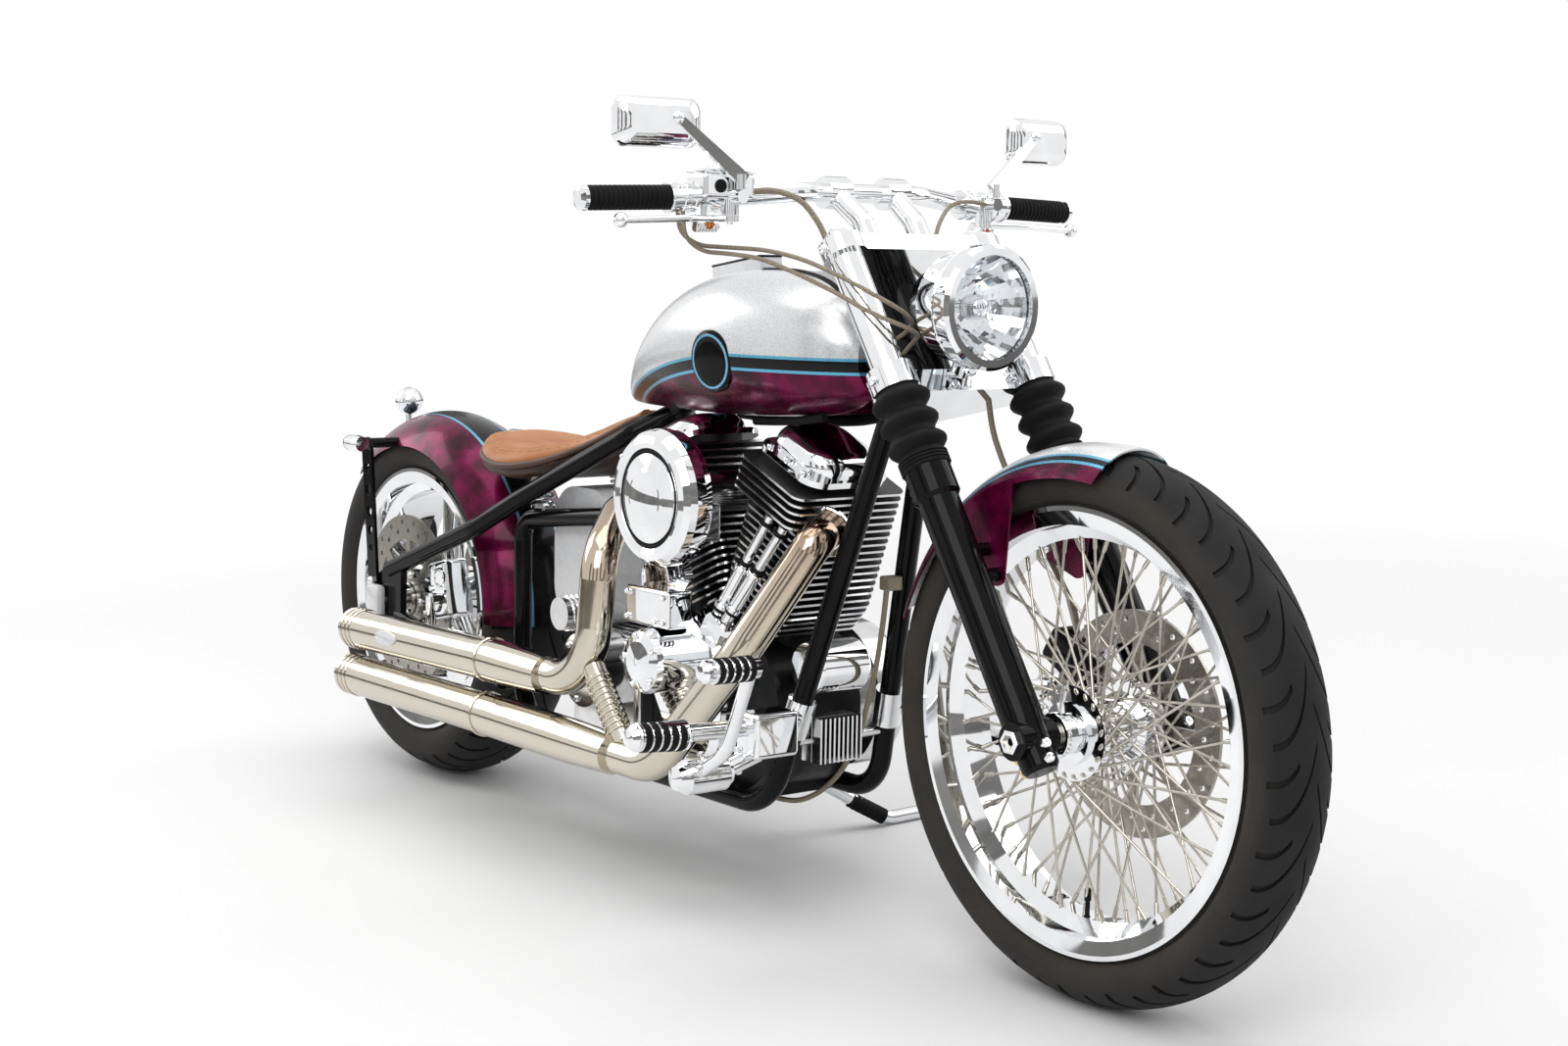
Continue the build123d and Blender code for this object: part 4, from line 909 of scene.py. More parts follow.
@dataclass(frozen=True)
class Candy:
    """Burgundy paint with a mottled depth, a band and fine stripes.

    The tank's silver top is divided from the burgundy by a line that falls towards the tail.
    On a fender the band follows the middle of the sheet instead.
    """

    name: str
    panel: Panel
    deep: Triple = (0.03, 0.0003, 0.008)
    glow: Triple = (0.17, 0.001, 0.05)
    silver: Triple = (0.74, 0.75, 0.76)
    shadow: Triple = (0.6, 0.61, 0.63)
    blue: Triple = (0.12, 0.42, 0.62)
    black: Triple = (0.008, 0.008, 0.009)

    def build(self) -> bpy.types.Material:
        """Make the material.

        Returns:
            The new material.
        """
        net = Net(self.name)
        where = net.place(upright=True)
        split = net.split(where)
        veins = net.noise(where, 26.0, 7)
        candy = net.mix(net.remap(veins, 0.36, 0.66, 0, 1), self.deep, self.glow)
        if self.panel is Panel.TANK:
            colour = self.tank_colour(net, where, split, candy)
        elif self.panel is Panel.FRONT_FENDER:
            colour = self.crest_colour(net, split, candy)
        else:
            colour = self.fender_colour(net, split, candy)
        net.colour(colour)
        flake = net.noise(where, 900.0, 2)
        net.rough(net.remap(flake, 0.3, 0.7, 0.22, 0.34))
        net.set(Metallic=0.5, Coat_Weight=0.15, Coat_Roughness=0.02, Specular_IOR_Level=0.2)
        return net.material

    def between(self, net: Net, value: Socket, low: float, high: float) -> Socket:
        """Mask of a span of a value.

        Args:
            net: the material's node tree.
            value: the socket that is tested.
            low: start of the span.
            high: end of the span.

        Returns:
            A socket that is one inside the span and zero outside it.
        """
        above = net.math("GREATER_THAN", value, low)
        below = net.math("LESS_THAN", value, high)
        return net.math("MULTIPLY", above, below)

    def tank_colour(self, net: Net, where: Socket, split: bpy.types.Node, candy: Socket) -> Socket:
        """Silver above, burgundy below, a striped black band between.

        Args:
            net: the material's node tree.
            where: coordinates on the upright bike.
            split: node with the place on the upright bike, taken apart.
            candy: the mottled burgundy.

        Returns:
            The paint's colour.
        """
        x, z = split.outputs["X"], split.outputs["Z"]
        behind = net.math("MAXIMUM", net.math("SUBTRACT", 1.02, x), 0.0)
        fall = net.math("ADD", net.math("MULTIPLY", behind, 0.06),
                        net.math("MULTIPLY", net.math("POWER", behind, 2.0), 0.42))
        height = net.math("SUBTRACT", z, net.math("SUBTRACT", 0.784, fall))
        pearl = net.noise(where, 260.0, 3)
        silver = net.mix(net.remap(pearl, 0.3, 0.7, 0, 1), self.silver, self.shadow)
        colour = net.mix(net.math("GREATER_THAN", height, 0.0), candy, silver)
        colour = net.mix(self.between(net, height, -0.008, 0.008), colour, self.black)
        for middle in (-0.0095, 0.0095):
            stripe = self.between(net, height, middle - 0.0021, middle + 0.0021)
            colour = net.mix(stripe, colour, self.blue)
        return colour

    def crest_colour(self, net: Net, split: bpy.types.Node, candy: Socket) -> Socket:
        """Silver along the crest, then a black band edged by two stripes, burgundy on the sides.

        Args:
            net: the material's node tree.
            split: node with the place on the upright bike, taken apart.
            candy: the mottled burgundy.

        Returns:
            The paint's colour.
        """
        side = net.math("ABSOLUTE", split.outputs["Y"])
        colour = net.mix(net.math("LESS_THAN", side, 0.045), candy, self.silver)
        colour = net.mix(self.between(net, side, 0.045, 0.057), colour, self.black)
        for middle in (0.046, 0.056):
            stripe = self.between(net, side, middle - 0.0017, middle + 0.0017)
            colour = net.mix(stripe, colour, self.blue)
        return colour

    def fender_colour(self, net: Net, split: bpy.types.Node, candy: Socket) -> Socket:
        """Burgundy with a black band along the crest, edged by two stripes.

        Args:
            net: the material's node tree.
            split: node with the place on the upright bike, taken apart.
            candy: the mottled burgundy.

        Returns:
            The paint's colour.
        """
        side = net.math("ABSOLUTE", split.outputs["Y"])
        colour = net.mix(net.math("LESS_THAN", side, 0.03), candy, self.black)
        stripe = self.between(net, side, 0.03, 0.0345)
        return net.mix(stripe, colour, self.blue)


FINISHES = {
    "chrome": Metal("polished_chrome", (0.86, 0.87, 0.88), (0.78, 0.79, 0.81), (0.02, 0.07)),
    "disc_steel": Brushed("ground_steel", (0.4, 0.38, 0.34), (0.28, 0.265, 0.235), (0.2, 0.34),
                          (90, 20, 90)),
    "exhaust_steel": HeatTint("tinted_stainless"),
    "black_paint": Gloss("gloss_black", (0.003, 0.003, 0.0035), (0.006, 0.006, 0.0065), 0.12, 0.07, 0.08),
    "satin_black": Gloss("satin_black", (0.006, 0.006, 0.0065), (0.01, 0.01, 0.0105), 0.4, 0.03, 0.12),
    "silver_paint": Gloss("silver_pearl", (0.74, 0.75, 0.76), (0.6, 0.61, 0.63), 0.3),
    "spoke_steel": Metal("spoke_steel", (0.56, 0.53, 0.47), (0.44, 0.41, 0.36), (0.16, 0.28), 60.0),
    "tank_paint": Candy("tank_candy", Panel.TANK),
    "crest_paint": Candy("front_fender_candy", Panel.FRONT_FENDER),
    "burgundy_paint": Candy("fender_candy", Panel.REAR_FENDER),
    "pale_blue": Gloss("pale_blue", (0.12, 0.42, 0.62), (0.1, 0.36, 0.55)),
    "engine_alloy": Metal("polished_alloy", (0.72, 0.72, 0.72), (0.64, 0.64, 0.65), (0.13, 0.21), 50.0),
    "fins": Fins("polished_fins"),
    "black_rubber": Rubber("black_rubber", (0.006, 0.006, 0.006), (0.012, 0.0115, 0.011)),
    "front_tyre": TyreWall("front_tyre_rubber", tuple(FRONT_AXLE), 326.0),
    "rear_tyre": TyreWall("rear_tyre_rubber", tuple(REAR_AXLE), 284.0),
    "braided_steel": Braid("braided_sleeve", (0.42, 0.36, 0.26), (0.16, 0.135, 0.1), 0.5),
    "brass": Metal("brass", (0.78, 0.58, 0.28), (0.62, 0.44, 0.2), (0.12, 0.28), 60.0),
    "clear_glass": Glass("clear_glass", (0.97, 0.98, 0.99)),
    "red_lens": Glass("red_lens", (0.6, 0.02, 0.02)),
    "amber_lens": Glass("amber_lens", (0.8, 0.3, 0.03)),
    "tan_leather": Hide("tan_hide", (0.46, 0.185, 0.06), (0.33, 0.12, 0.036)),
    "dark_leather": Hide("burnished_edge", (0.07, 0.03, 0.014), (0.035, 0.016, 0.009)),
    "thread": Rubber("waxed_thread", (0.5, 0.36, 0.2), (0.42, 0.28, 0.15), (0.5, 0.7), 1500.0),
}
NODE_FINISH = {
    "fuel_tank": "tank_paint",
    "front_fender": "crest_paint",
    "cylinders": "fins",
    "crankcase": "satin_black",
    "front_tyre": "front_tyre",
    "rear_tyre": "rear_tyre",
    "control_cables": "braided_steel",
    "tank_fittings": "silver_paint",
}


class Palette:
    """Builds each finish once, when it is first asked for."""

    def __init__(self) -> None:
        """Start with nothing made."""
        self.made: dict[str, bpy.types.Material] = {}

    def get(self, name: str) -> bpy.types.Material:
        """The material of a named finish.

        Args:
            name: a key of FINISHES.

        Returns:
            The material, made at the first call.
        """
        if name not in self.made:
            self.made[name] = FINISHES[name].build()
        return self.made[name]

    def dress(self, piece: Piece, name: str) -> None:
        """Give a piece one finish all over."""
        piece.data.materials.clear()
        piece.data.materials.append(self.get(name))


PALETTE = Palette()


def screw(name: str, radius: float, height: float) -> Piece:
    """Socket-head screw, its head rising along z.

    Args:
        name: name of the new object.
        radius: radius of the head.
        height: height of the head.

    Returns:
        The screw's head.
    """
    hole, floor = radius * 0.52, height * 0.45
    profile = [(0, -1), (radius, -1), (radius, height * 0.8), (radius * 0.85, height), (hole, height),
               (hole, floor), (0, floor)]
    return Bench.lathe(name, profile, 12)


def acorn(name: str, radius: float, height: float) -> Piece:
    """Six-sided nut with a domed end, rising along z.

    Args:
        name: name of the new object.
        radius: radius to the nut's corners.
        height: height to the top of the dome.

    Returns:
        The nut.
    """
    flat, bare = height * 0.45, radius * 0.84
    nut = Bench.lathe(name, [(0, -1), (radius, -1), (radius, flat), (0, flat)], 6)
    profile = [(bare, height * 0.4), (bare, height * 0.6), (bare * 0.8, height * 0.82),
               (bare * 0.4, height * 0.96), (0, height)]
    return Bench.join(nut, [Bench.lathe(name + "_dome", profile, 14)])


def band(name: str, inner: float, outer: float, half: float, edge: float = 1.0, steps: int = 40) -> Piece:
    """Closed ring about the z axis with eased edges.

    Args:
        name: name of the new object.
        inner: radius of its hole.
        outer: outer radius.
        half: half its width along z.
        edge: width of the eased edges.
        steps: number of sides.

    Returns:
        The ring.
    """
    profile = [(inner, -half), (outer - edge, -half), (outer, edge - half), (outer, half - edge),
               (outer - edge, half), (inner, half), (inner, -half)]
    return Bench.lathe(name, profile, steps)


@dataclass
class Tyre:
    """Tyre with curved grooves pressed into its crown."""

    node: str
    axle: Vector
    body: Body
    radius: float
    half: float
    lip: float
    bead: float
    drop: float
    shoulder: float
    pitches: int
    columns: int = 10
    depth: float = 4.5
    sweep: float = 92.0

    def arc(self, start: Point, middle: Point, end: Point, count: int) -> list[tuple[float, float]]:
        """Points on the circle through three points, without the first.

        Args:
            start: first (radius, height) point.
            middle: point between the ends.
            end: last point.
            count: number of points.

        Returns:
            The points after the first one.
        """
        (ax, ay), (bx, by), (cx, cy) = start, middle, end
        scale = 2 * (ax * (by - cy) + bx * (cy - ay) + cx * (ay - by))
        squares = [ax * ax + ay * ay, bx * bx + by * by, cx * cx + cy * cy]
        x = (squares[0] * (by - cy) + squares[1] * (cy - ay) + squares[2] * (ay - by)) / scale
        y = (squares[0] * (cx - bx) + squares[1] * (ax - cx) + squares[2] * (bx - ax)) / scale
        reach = math.hypot(ax - x, ay - y)
        first, last = math.atan2(ay - y, ax - x), math.atan2(cy - y, cx - x)
        angles = [first + (last - first) * step / count for step in range(1, count + 1)]
        return [(x + reach * math.cos(angle), y + reach * math.sin(angle)) for angle in angles]

    def section(self) -> list[tuple[float, float]]:
        """Closed section from one bead over the crown to the other.

        Returns:
            The section's (radius, height) points.
        """
        foot, widest = self.lip - 17.7, self.lip + 24
        low, high = (self.radius - self.drop, -self.shoulder), (self.radius - self.drop, self.shoulder)
        points = [(foot, -self.bead), (self.lip + 2, -self.bead)]
        points += self.arc(points[-1], (widest, -self.half), low, 7)
        points += self.arc(low, (self.radius, 0), high, 22)
        points += self.arc(high, (widest, self.half), (self.lip + 2, self.bead), 7)
        return points + [(foot, self.bead)]

    def lean(self, side: float) -> float:
        """Angle by which the grooves trail at a distance from the middle."""
        share = min(abs(side) / self.shoulder, 1.0)
        return self.sweep / self.radius * (1 - (1 - share) ** 2)

    def grooved(self, centre: Vector) -> bool:
        """Tell the faces of the grooves from the rest.

        Args:
            centre: middle of a face, with the axle along z.

        Returns:
            True where the face belongs to a groove.
        """
        step = 2 * math.pi / (self.pitches * self.columns)
        half_pitch = self.columns // 2
        side = abs(centre.z)
        if math.hypot(centre.x, centre.y) < self.radius - self.drop - 8:
            return False
        angle = math.atan2(centre.y, centre.x) - self.lean(centre.z)
        column = math.floor(angle / step) + (half_pitch if centre.z < 0 else 0)
        place = column % self.columns
        if place == 0:
            return 0.05 * self.shoulder < side < 0.98 * self.shoulder
        return place == half_pitch and 0.46 * self.shoulder < side < 1.06 * self.shoulder

    def build(self) -> None:
        """Spin the section with trailing rows and press the grooves in."""
        points = []
        for radius, side in self.section():
            turn = self.lean(side)
            points.append((radius * math.cos(turn), radius * math.sin(turn), side))
        piece = Bench.chain(self.node + "_tread", points, closed=True)
        steps = self.pitches * self.columns
        bpy.ops.mesh.spin(steps=steps, angle=2 * math.pi, center=(0, 0, 0), axis=(0, 0, 1))
        Bench.close()
        Bench.sink(piece, self.grooved, self.depth)
        Bench.put(piece, aim(self.axle, LEFT))
        Bench.done(piece, self.body, self.node, "tyre", [self.node], 32)


@dataclass
class WireWheel:
    """Wire spokes with nipples, the valve, the disc's screws and the hub's rings."""

    count: int = 80
    sweep: float = 52.0
    hub: float = 54.0
    rim: float = 243.0
    bar: float = 3.7
    length: float = 220.0
    rows: tuple = ((1, 50, 13, 1), (1, 42, 7, -1), (-1, 50, 13, 1), (-1, 42, 7, -1))
    valve: Triple = (247, -91, -9)
    screw_circle: float = 45.0
    screw_side: float = 65.0
    ring_sides: Triple = (-79, -56, 56)

    def spoke(self) -> Piece:
        """One round bar, thicker towards the hub, with its head and nipple, along z.

        Returns:
            The spoke.
        """
        length = self.length
        thin, thick = self.bar / 2, self.bar / 2 + 0.3
        profile = [(0, 0), (thick, 0), (thick, 34), (thin, 40), (thin, length), (0, length)]
        bar = Bench.lathe("front_spoke_set", profile, 10)
        profile = [(0, length - 19), (2.4, length - 19), (3, length - 16), (3, length - 3), (4, length + 1),
                   (0, length + 1)]
        nipple = Bench.lathe("nipple", profile, 8)
        head = Bench.lathe("head", [(0, -4), (2.6, -4), (3.6, -1), (3.6, 3), (2.3, 6), (0, 6)], 8)
        return Bench.join(bar, [nipple, head])

    def build(self) -> None:
        """Copy the spoke to every place and add the small pieces."""
        each = self.count // len(self.rows)
        spots = []
        for index, (side, hub_side, rim_side, turn) in enumerate(self.rows):
            for number in range(each):
                angle = (number + index / len(self.rows)) * 360 / each
                start = wheel_point(FRONT_AXLE, self.hub, angle, side * hub_side)
                end = wheel_point(FRONT_AXLE, self.rim, angle + turn * self.sweep, side * rim_side)
                grow = Matrix.Scale((end - start).length / self.length, 4, (0, 0, 1))
                spots.append(aim(start, end - start) @ grow)
        Bench.spread(self.spoke(), spots, Body.FRONT_WHEEL, "spoke_steel", "chrome",
                     ["front_spokes"], 60)
        profile = [(0, 0), (5.5, 0), (5.5, 5), (3.2, 8), (3.2, 26), (4.4, 27), (4.4, 40), (3, 43), (0, 43)]
        radius, angle, side = self.valve
        inward = aim(wheel_point(FRONT_AXLE, radius, angle, side), wheel_point(Vector(), 1, angle + 180, 0))
        Bench.spread(Bench.lathe("tyre_valve", profile, 14), [inward], Body.FRONT_WHEEL, "black_rubber")
        spots = [aim(wheel_point(FRONT_AXLE, self.screw_circle, number * 72, self.screw_side), LEFT)
                 for number in range(5)]
        Bench.spread(screw("front_disc_screws", 7, 6), spots, Body.FRONT_WHEEL, "chrome")
        rims = [aim(FRONT_AXLE + LEFT * side, LEFT) for side in self.ring_sides]
        Bench.spread(band("hub_rings", 24, 29, 4), rims, Body.FRONT_WHEEL, "chrome")


@dataclass
class Fork:
    """Gaiters, nuts, screws and caps of the fork."""

    low: float = 374.0
    high: float = 490.0
    collar: float = 20.0
    folds: int = 3
    inner: float = 23.2
    axle_end: float = 150.4
    pinch: tuple = ((-34, 22.5), (-16, 25.5))
    trees: tuple = ((506, 0), (706, 16))
    top: float = 730.0

    def gaiters(self) -> None:
        """Rounded bellows with a ribbed collar below."""
        profile = [(self.inner, self.low), (32, self.low)]
        for rib in range(4):
            start = self.low + 2 + rib * 4.5
            profile += [(33.5, start), (33.5, start + 2.4), (31.5, start + 3), (31.5, start + 4)]
        pitch = (self.high - self.low - self.collar) / self.folds
        for step in range(1, self.folds * 10 + 1):
            share = step / 10
            height = self.low + self.collar + share * pitch
            profile.append((34.4 - 5.4 * math.cos(2 * math.pi * share), height))
        profile += [(self.inner, self.high), (self.inner, self.low)]
        spots = [aim(fork_point(0, side * LEG_SIDE), FORK_UP) for side in (-1, 1)]
        Bench.spread(Bench.lathe("bellows", profile, 44), spots, Body.STEERING, "black_rubber",
                     replaces=["fork_gaiters"], angle=50)

    def fasteners(self) -> None:
        """Axle nuts, pinch screws with brass nuts, screws of the trees, and caps."""
        nuts = [aim(FRONT_AXLE + LEFT * side * self.axle_end, LEFT * side) for side in (-1, 1)]
        nut = Bench.lathe("axle_nuts", [(9.7, 0), (16, 0), (16, 5), (14, 6.5), (9.7, 6.5), (9.7, 0)], 6)
        Bench.spread(nut, nuts, Body.STEERING, "chrome", angle=20)
        spots, brass = [], []
        for side in (-1, 1):
            for up, reach in self.pinch:
                spots.append(aim(fork_point(up, side * (LEG_SIDE + 4), reach - 1), FORK_AHEAD))
                brass.append(aim(fork_point(up, side * (LEG_SIDE + 4), 1 - reach), -FORK_AHEAD))
            for up, ahead in self.trees:
                spots.append(aim(fork_point(up, side * (LEG_SIDE + 30.5), 0), LEFT * side))
                spots.append(aim(fork_point(up, side * (LEG_SIDE - 34), ahead), FORK_AHEAD))
        Bench.spread(screw("fork_screws", 6.5, 7), spots, Body.STEERING, "chrome")
        nut = Bench.lathe("pinch_nuts", [(0, -1), (7.5, -1), (7.5, 5), (6, 6), (0, 6)], 6)
        Bench.spread(nut, brass, Body.STEERING, "brass", "chrome", angle=20)
        stem = aim(fork_point(self.top + 1, 0, -STEM_BACK), FORK_UP)
        Bench.spread(acorn("stem_cap", 19, 24), [stem], Body.STEERING, "chrome")
        caps = [aim(fork_point(self.top, side * LEG_SIDE), FORK_UP) for side in (-1, 1)]
        Bench.spread(acorn("fork_caps", 13, 10), caps, Body.STEERING, "chrome")

    def build(self) -> None:
        """Make all of it."""
        self.gaiters()
        self.fasteners()


@dataclass
class Lamp:
    """Inside and trim of the headlight."""

    mouth: float = 68.0
    deep: float = 54.0
    bezel: float = 83.0

    def build(self) -> None:
        """Reflector, bulb hood, bezel ring and the bottom stud."""
        profile = [(8 + (self.mouth - 8) * step / 9, -56 + self.deep * (step / 9) ** 2) for step in range(10)]
        mouth = aim(LAMP_CENTRE, AHEAD)
        bowl = Bench.lathe("lamp_reflector", profile, 30)
        Bench.spread(bowl, [mouth], Body.STEERING, "chrome", angle=4)
        profile = [(0, -54), (7, -54), (7, -34), (15, -32), (17, -24), (15, -16), (8, -10), (0, -9)]
        Bench.spread(Bench.lathe("bulb_hood", profile, 24), [mouth], Body.STEERING, "chrome")
        trim = band("lamp_bezel", self.mouth + 0.5, self.bezel, 8, 5, 64)
        Bench.put(trim, aim(LAMP_CENTRE + AHEAD * 4.5, AHEAD))
        seam = band("bezel_seam", 76, self.bezel, 2.4, 1.2, 64)
        Bench.put(seam, aim(LAMP_CENTRE - AHEAD * 16, AHEAD))
        Bench.done(Bench.join(trim, [seam]), Body.STEERING, "chrome")
        below = aim(LAMP_CENTRE + Vector((-30, 0, -76)), -UP)
        Bench.spread(acorn("lamp_stud", 10, 16), [below], Body.STEERING, "chrome")


@dataclass
class HandControls:
    """Grips, collars, screws, fluid box lid and window, bar indicators and mirror glass."""

    length: float = 126.0
    ribs: int = 15
    collars: tuple = (132, 150, 167, 194, 210)
    perch: float = 202.0
    box: Triple = (194, 32, 31)
    indicator: Triple = (182, 14, -36)
    mirror: Triple = (-72, 336, 183)

    def grips(self) -> None:
        """Ribbed rubber with a flange at the inner end."""
        profile = [(12.8, 0), (16.8, 0), (16.8, 5), (14.8, 7)]
        pitch = (self.length - 14) / self.ribs
        for rib in range(self.ribs):
            start = 8 + rib * pitch
            profile += [(14.8, start), (16.6, start + 1.4), (16.6, start + pitch - 2.6),
                        (14.8, start + pitch - 1.2)]
        profile += [(15.5, self.length - 4), (15.5, self.length), (12.8, self.length), (12.8, 0)]
        spots = [aim(bar_point(side, 128), grip_axis(side)) for side in (-1, 1)]
        Bench.spread(Bench.lathe("ribbed_grips", profile, 36), spots, Body.STEERING, "black_rubber",
                     replaces=["grips"])

    def trim(self) -> None:
        """Collars on the housings and clamps, screws, and the fluid box's lid and window."""
        collars, screws = [], []
        for side in (-1, 1):
            axis = grip_axis(side)
            for place in self.collars:
                collars.append(aim(bar_point(side, place), axis))
            screws.append(aim(bar_point(side, self.perch, 42, 10), UP))
            screws.append(aim(bar_point(side, self.perch, 42, -33), -UP))
            for out in (-9, 9):
                screws.append(aim(bar_point(side, self.perch + out, 20, 0), AHEAD))
        Bench.spread(band("housing_collars", 18.5, 21.5, 2.6), collars, Body.STEERING, "chrome")
        box = bar_point(-1, *self.box)
        for x in (-15, 15):
            for y in (-34, 34):
                screws.append(aim(box + Vector((x, y, 4)), UP))
        Bench.spread(screw("control_screws", 4, 3.5), screws, Body.STEERING, "chrome")
        lid = Bench.brick("fluid_box_lid", (44, 84, 6), 2)
        Bench.spread(lid, [aim(box + UP * 2)], Body.STEERING, "chrome")
        eye = Bench.lathe("fluid_window", [(0, 0), (9, 0), (9, 2), (7, 3), (0, 2)], 24)
        front = aim(bar_point(-1, 178, 54, 14), AHEAD)
        Bench.spread(eye, [front], Body.STEERING, "satin_black", "black_paint")

    def indicators(self) -> None:
        """Finned indicator under each perch."""
        ribs, lenses = [], []
        for side in (-1, 1):
            at = bar_point(side, *self.indicator)
            for step in range(7):
                ribs.append(aim(at + LEFT * side * (step * 5 - 15), LEFT))
            lenses.append(aim(at + AHEAD * 9, AHEAD))
        core = Bench.lathe("indicator_core", [(0, -17), (8.5, -17), (8.5, 17), (0, 17)], 24)
        stem = Bench.lathe("indicator_stem", [(0, 0), (4.5, 0), (4.5, 26), (0, 26)], 16)
        piece = Bench.copies(band("indicator_fins", 1.5, 11, 1.5, 0.8, 28), ribs)
        from_end, ahead, up = self.indicator
        cores = Bench.copies(core, [aim(bar_point(side, *self.indicator), LEFT) for side in (-1, 1)])
        stems = Bench.copies(stem, [aim(bar_point(side, from_end, ahead - 4, up), UP) for side in (-1, 1)])
        Bench.done(Bench.join(piece, [cores, stems]), Body.STEERING, "chrome")
        lens = Bench.lathe("indicator_lenses", [(0, 0), (7, 0), (7, 2), (4, 4.5), (0, 5)], 20)
        Bench.spread(lens, lenses, Body.STEERING, "amber_lens", "clear_glass")

    def mirror_glass(self) -> None:
        """Flat glass on the back of each mirror."""
        x, y, z = self.mirror
        spots = []
        for side in (-1, 1):
            centre = STEM_TOP + Vector((x, side * y, z))
            back = Matrix.Rotation(math.radians(side * 7), 4, "Z")
            spots.append(Matrix.Translation(centre) @ back @ Matrix.Translation((-0.6, 0, 0)))
        Bench.spread(Bench.brick("mirror_glass", (1.6, 118, 56), 0.7), spots, Body.STEERING, "chrome")

    def build(self) -> None:
        """Make all of it."""
        self.grips()
        self.trim()
        self.indicators()
        self.mirror_glass()


@dataclass
class TankTrim:
    """Badges, the welt along the tank's crest and the cap panel."""

    badge_radius: float = 45.0
    badge: Triple = (983, 134.5, 783)
    cap_panel: Triple = (880, 0, 908)
    cap_tilt: float = -8.0
    crest: tuple = ((934, -12), (1000, -16), (1075, -30), (1130, -42), (1170, -50), (1195, -50))
    nose: tuple = ((-48, 838), (-46, 820), (-44, 800))

    def badges(self) -> None:
        """Bare round badge with a ring on each side."""
        x, y, z = self.badge
        spots = [aim((x, side * y, z), (0.06, side, -0.12)) for side in (-1, 1)]
        size = self.badge_radius
        profile = [(0, -6), (size, -6), (size, 2.4), (size - 2, 4), (size * 0.6, 5), (0, 5.4)]
        Bench.spread(Bench.lathe("tank_badges", profile, 64), spots, Body.CHASSIS, "black_paint")
        ring = band("badge_rings", size - 9, size - 5.5, 1.2, 0.5, 64)
        raised = [spot @ Matrix.Translation((0, 0, 4.2)) for spot in spots]
        Bench.spread(ring, raised, Body.CHASSIS, "pale_blue", "burgundy_paint")

    def panel(self) -> None:
        """Plate and cap on the panel at the crest."""
        tilt = Matrix.Translation(self.cap_panel) @ Matrix.Rotation(math.radians(self.cap_tilt), 4, "Y")
        plate = Bench.brick("panel_plate", (122, 42, 4), 1.6)
        Bench.spread(plate, [tilt @ Matrix.Translation((0, 0, 16))], Body.CHASSIS, "black_paint")
        cap = Bench.lathe("fuel_cap", [(0, 0), (17, 0), (18, 1.5), (17, 3), (6, 4), (0, 4.2)], 36)
        Bench.spread(cap, [tilt @ Matrix.Translation((20, 0, 17))], Body.CHASSIS, "chrome")

    def build(self) -> None:
        """Make all of it."""
        self.badges()
        line = seats_on("fuel_tank", [(x, y, 1100) for x, y in self.crest], -UP)
        line += seats_on("fuel_tank", [(1500, y, z) for y, z in self.nose], -AHEAD)
        welt = Bench.wire("tank_welt", [spot.translation for spot in line], 5.0)
        Bench.done(welt, Body.CHASSIS, "black_rubber")
        self.panel()


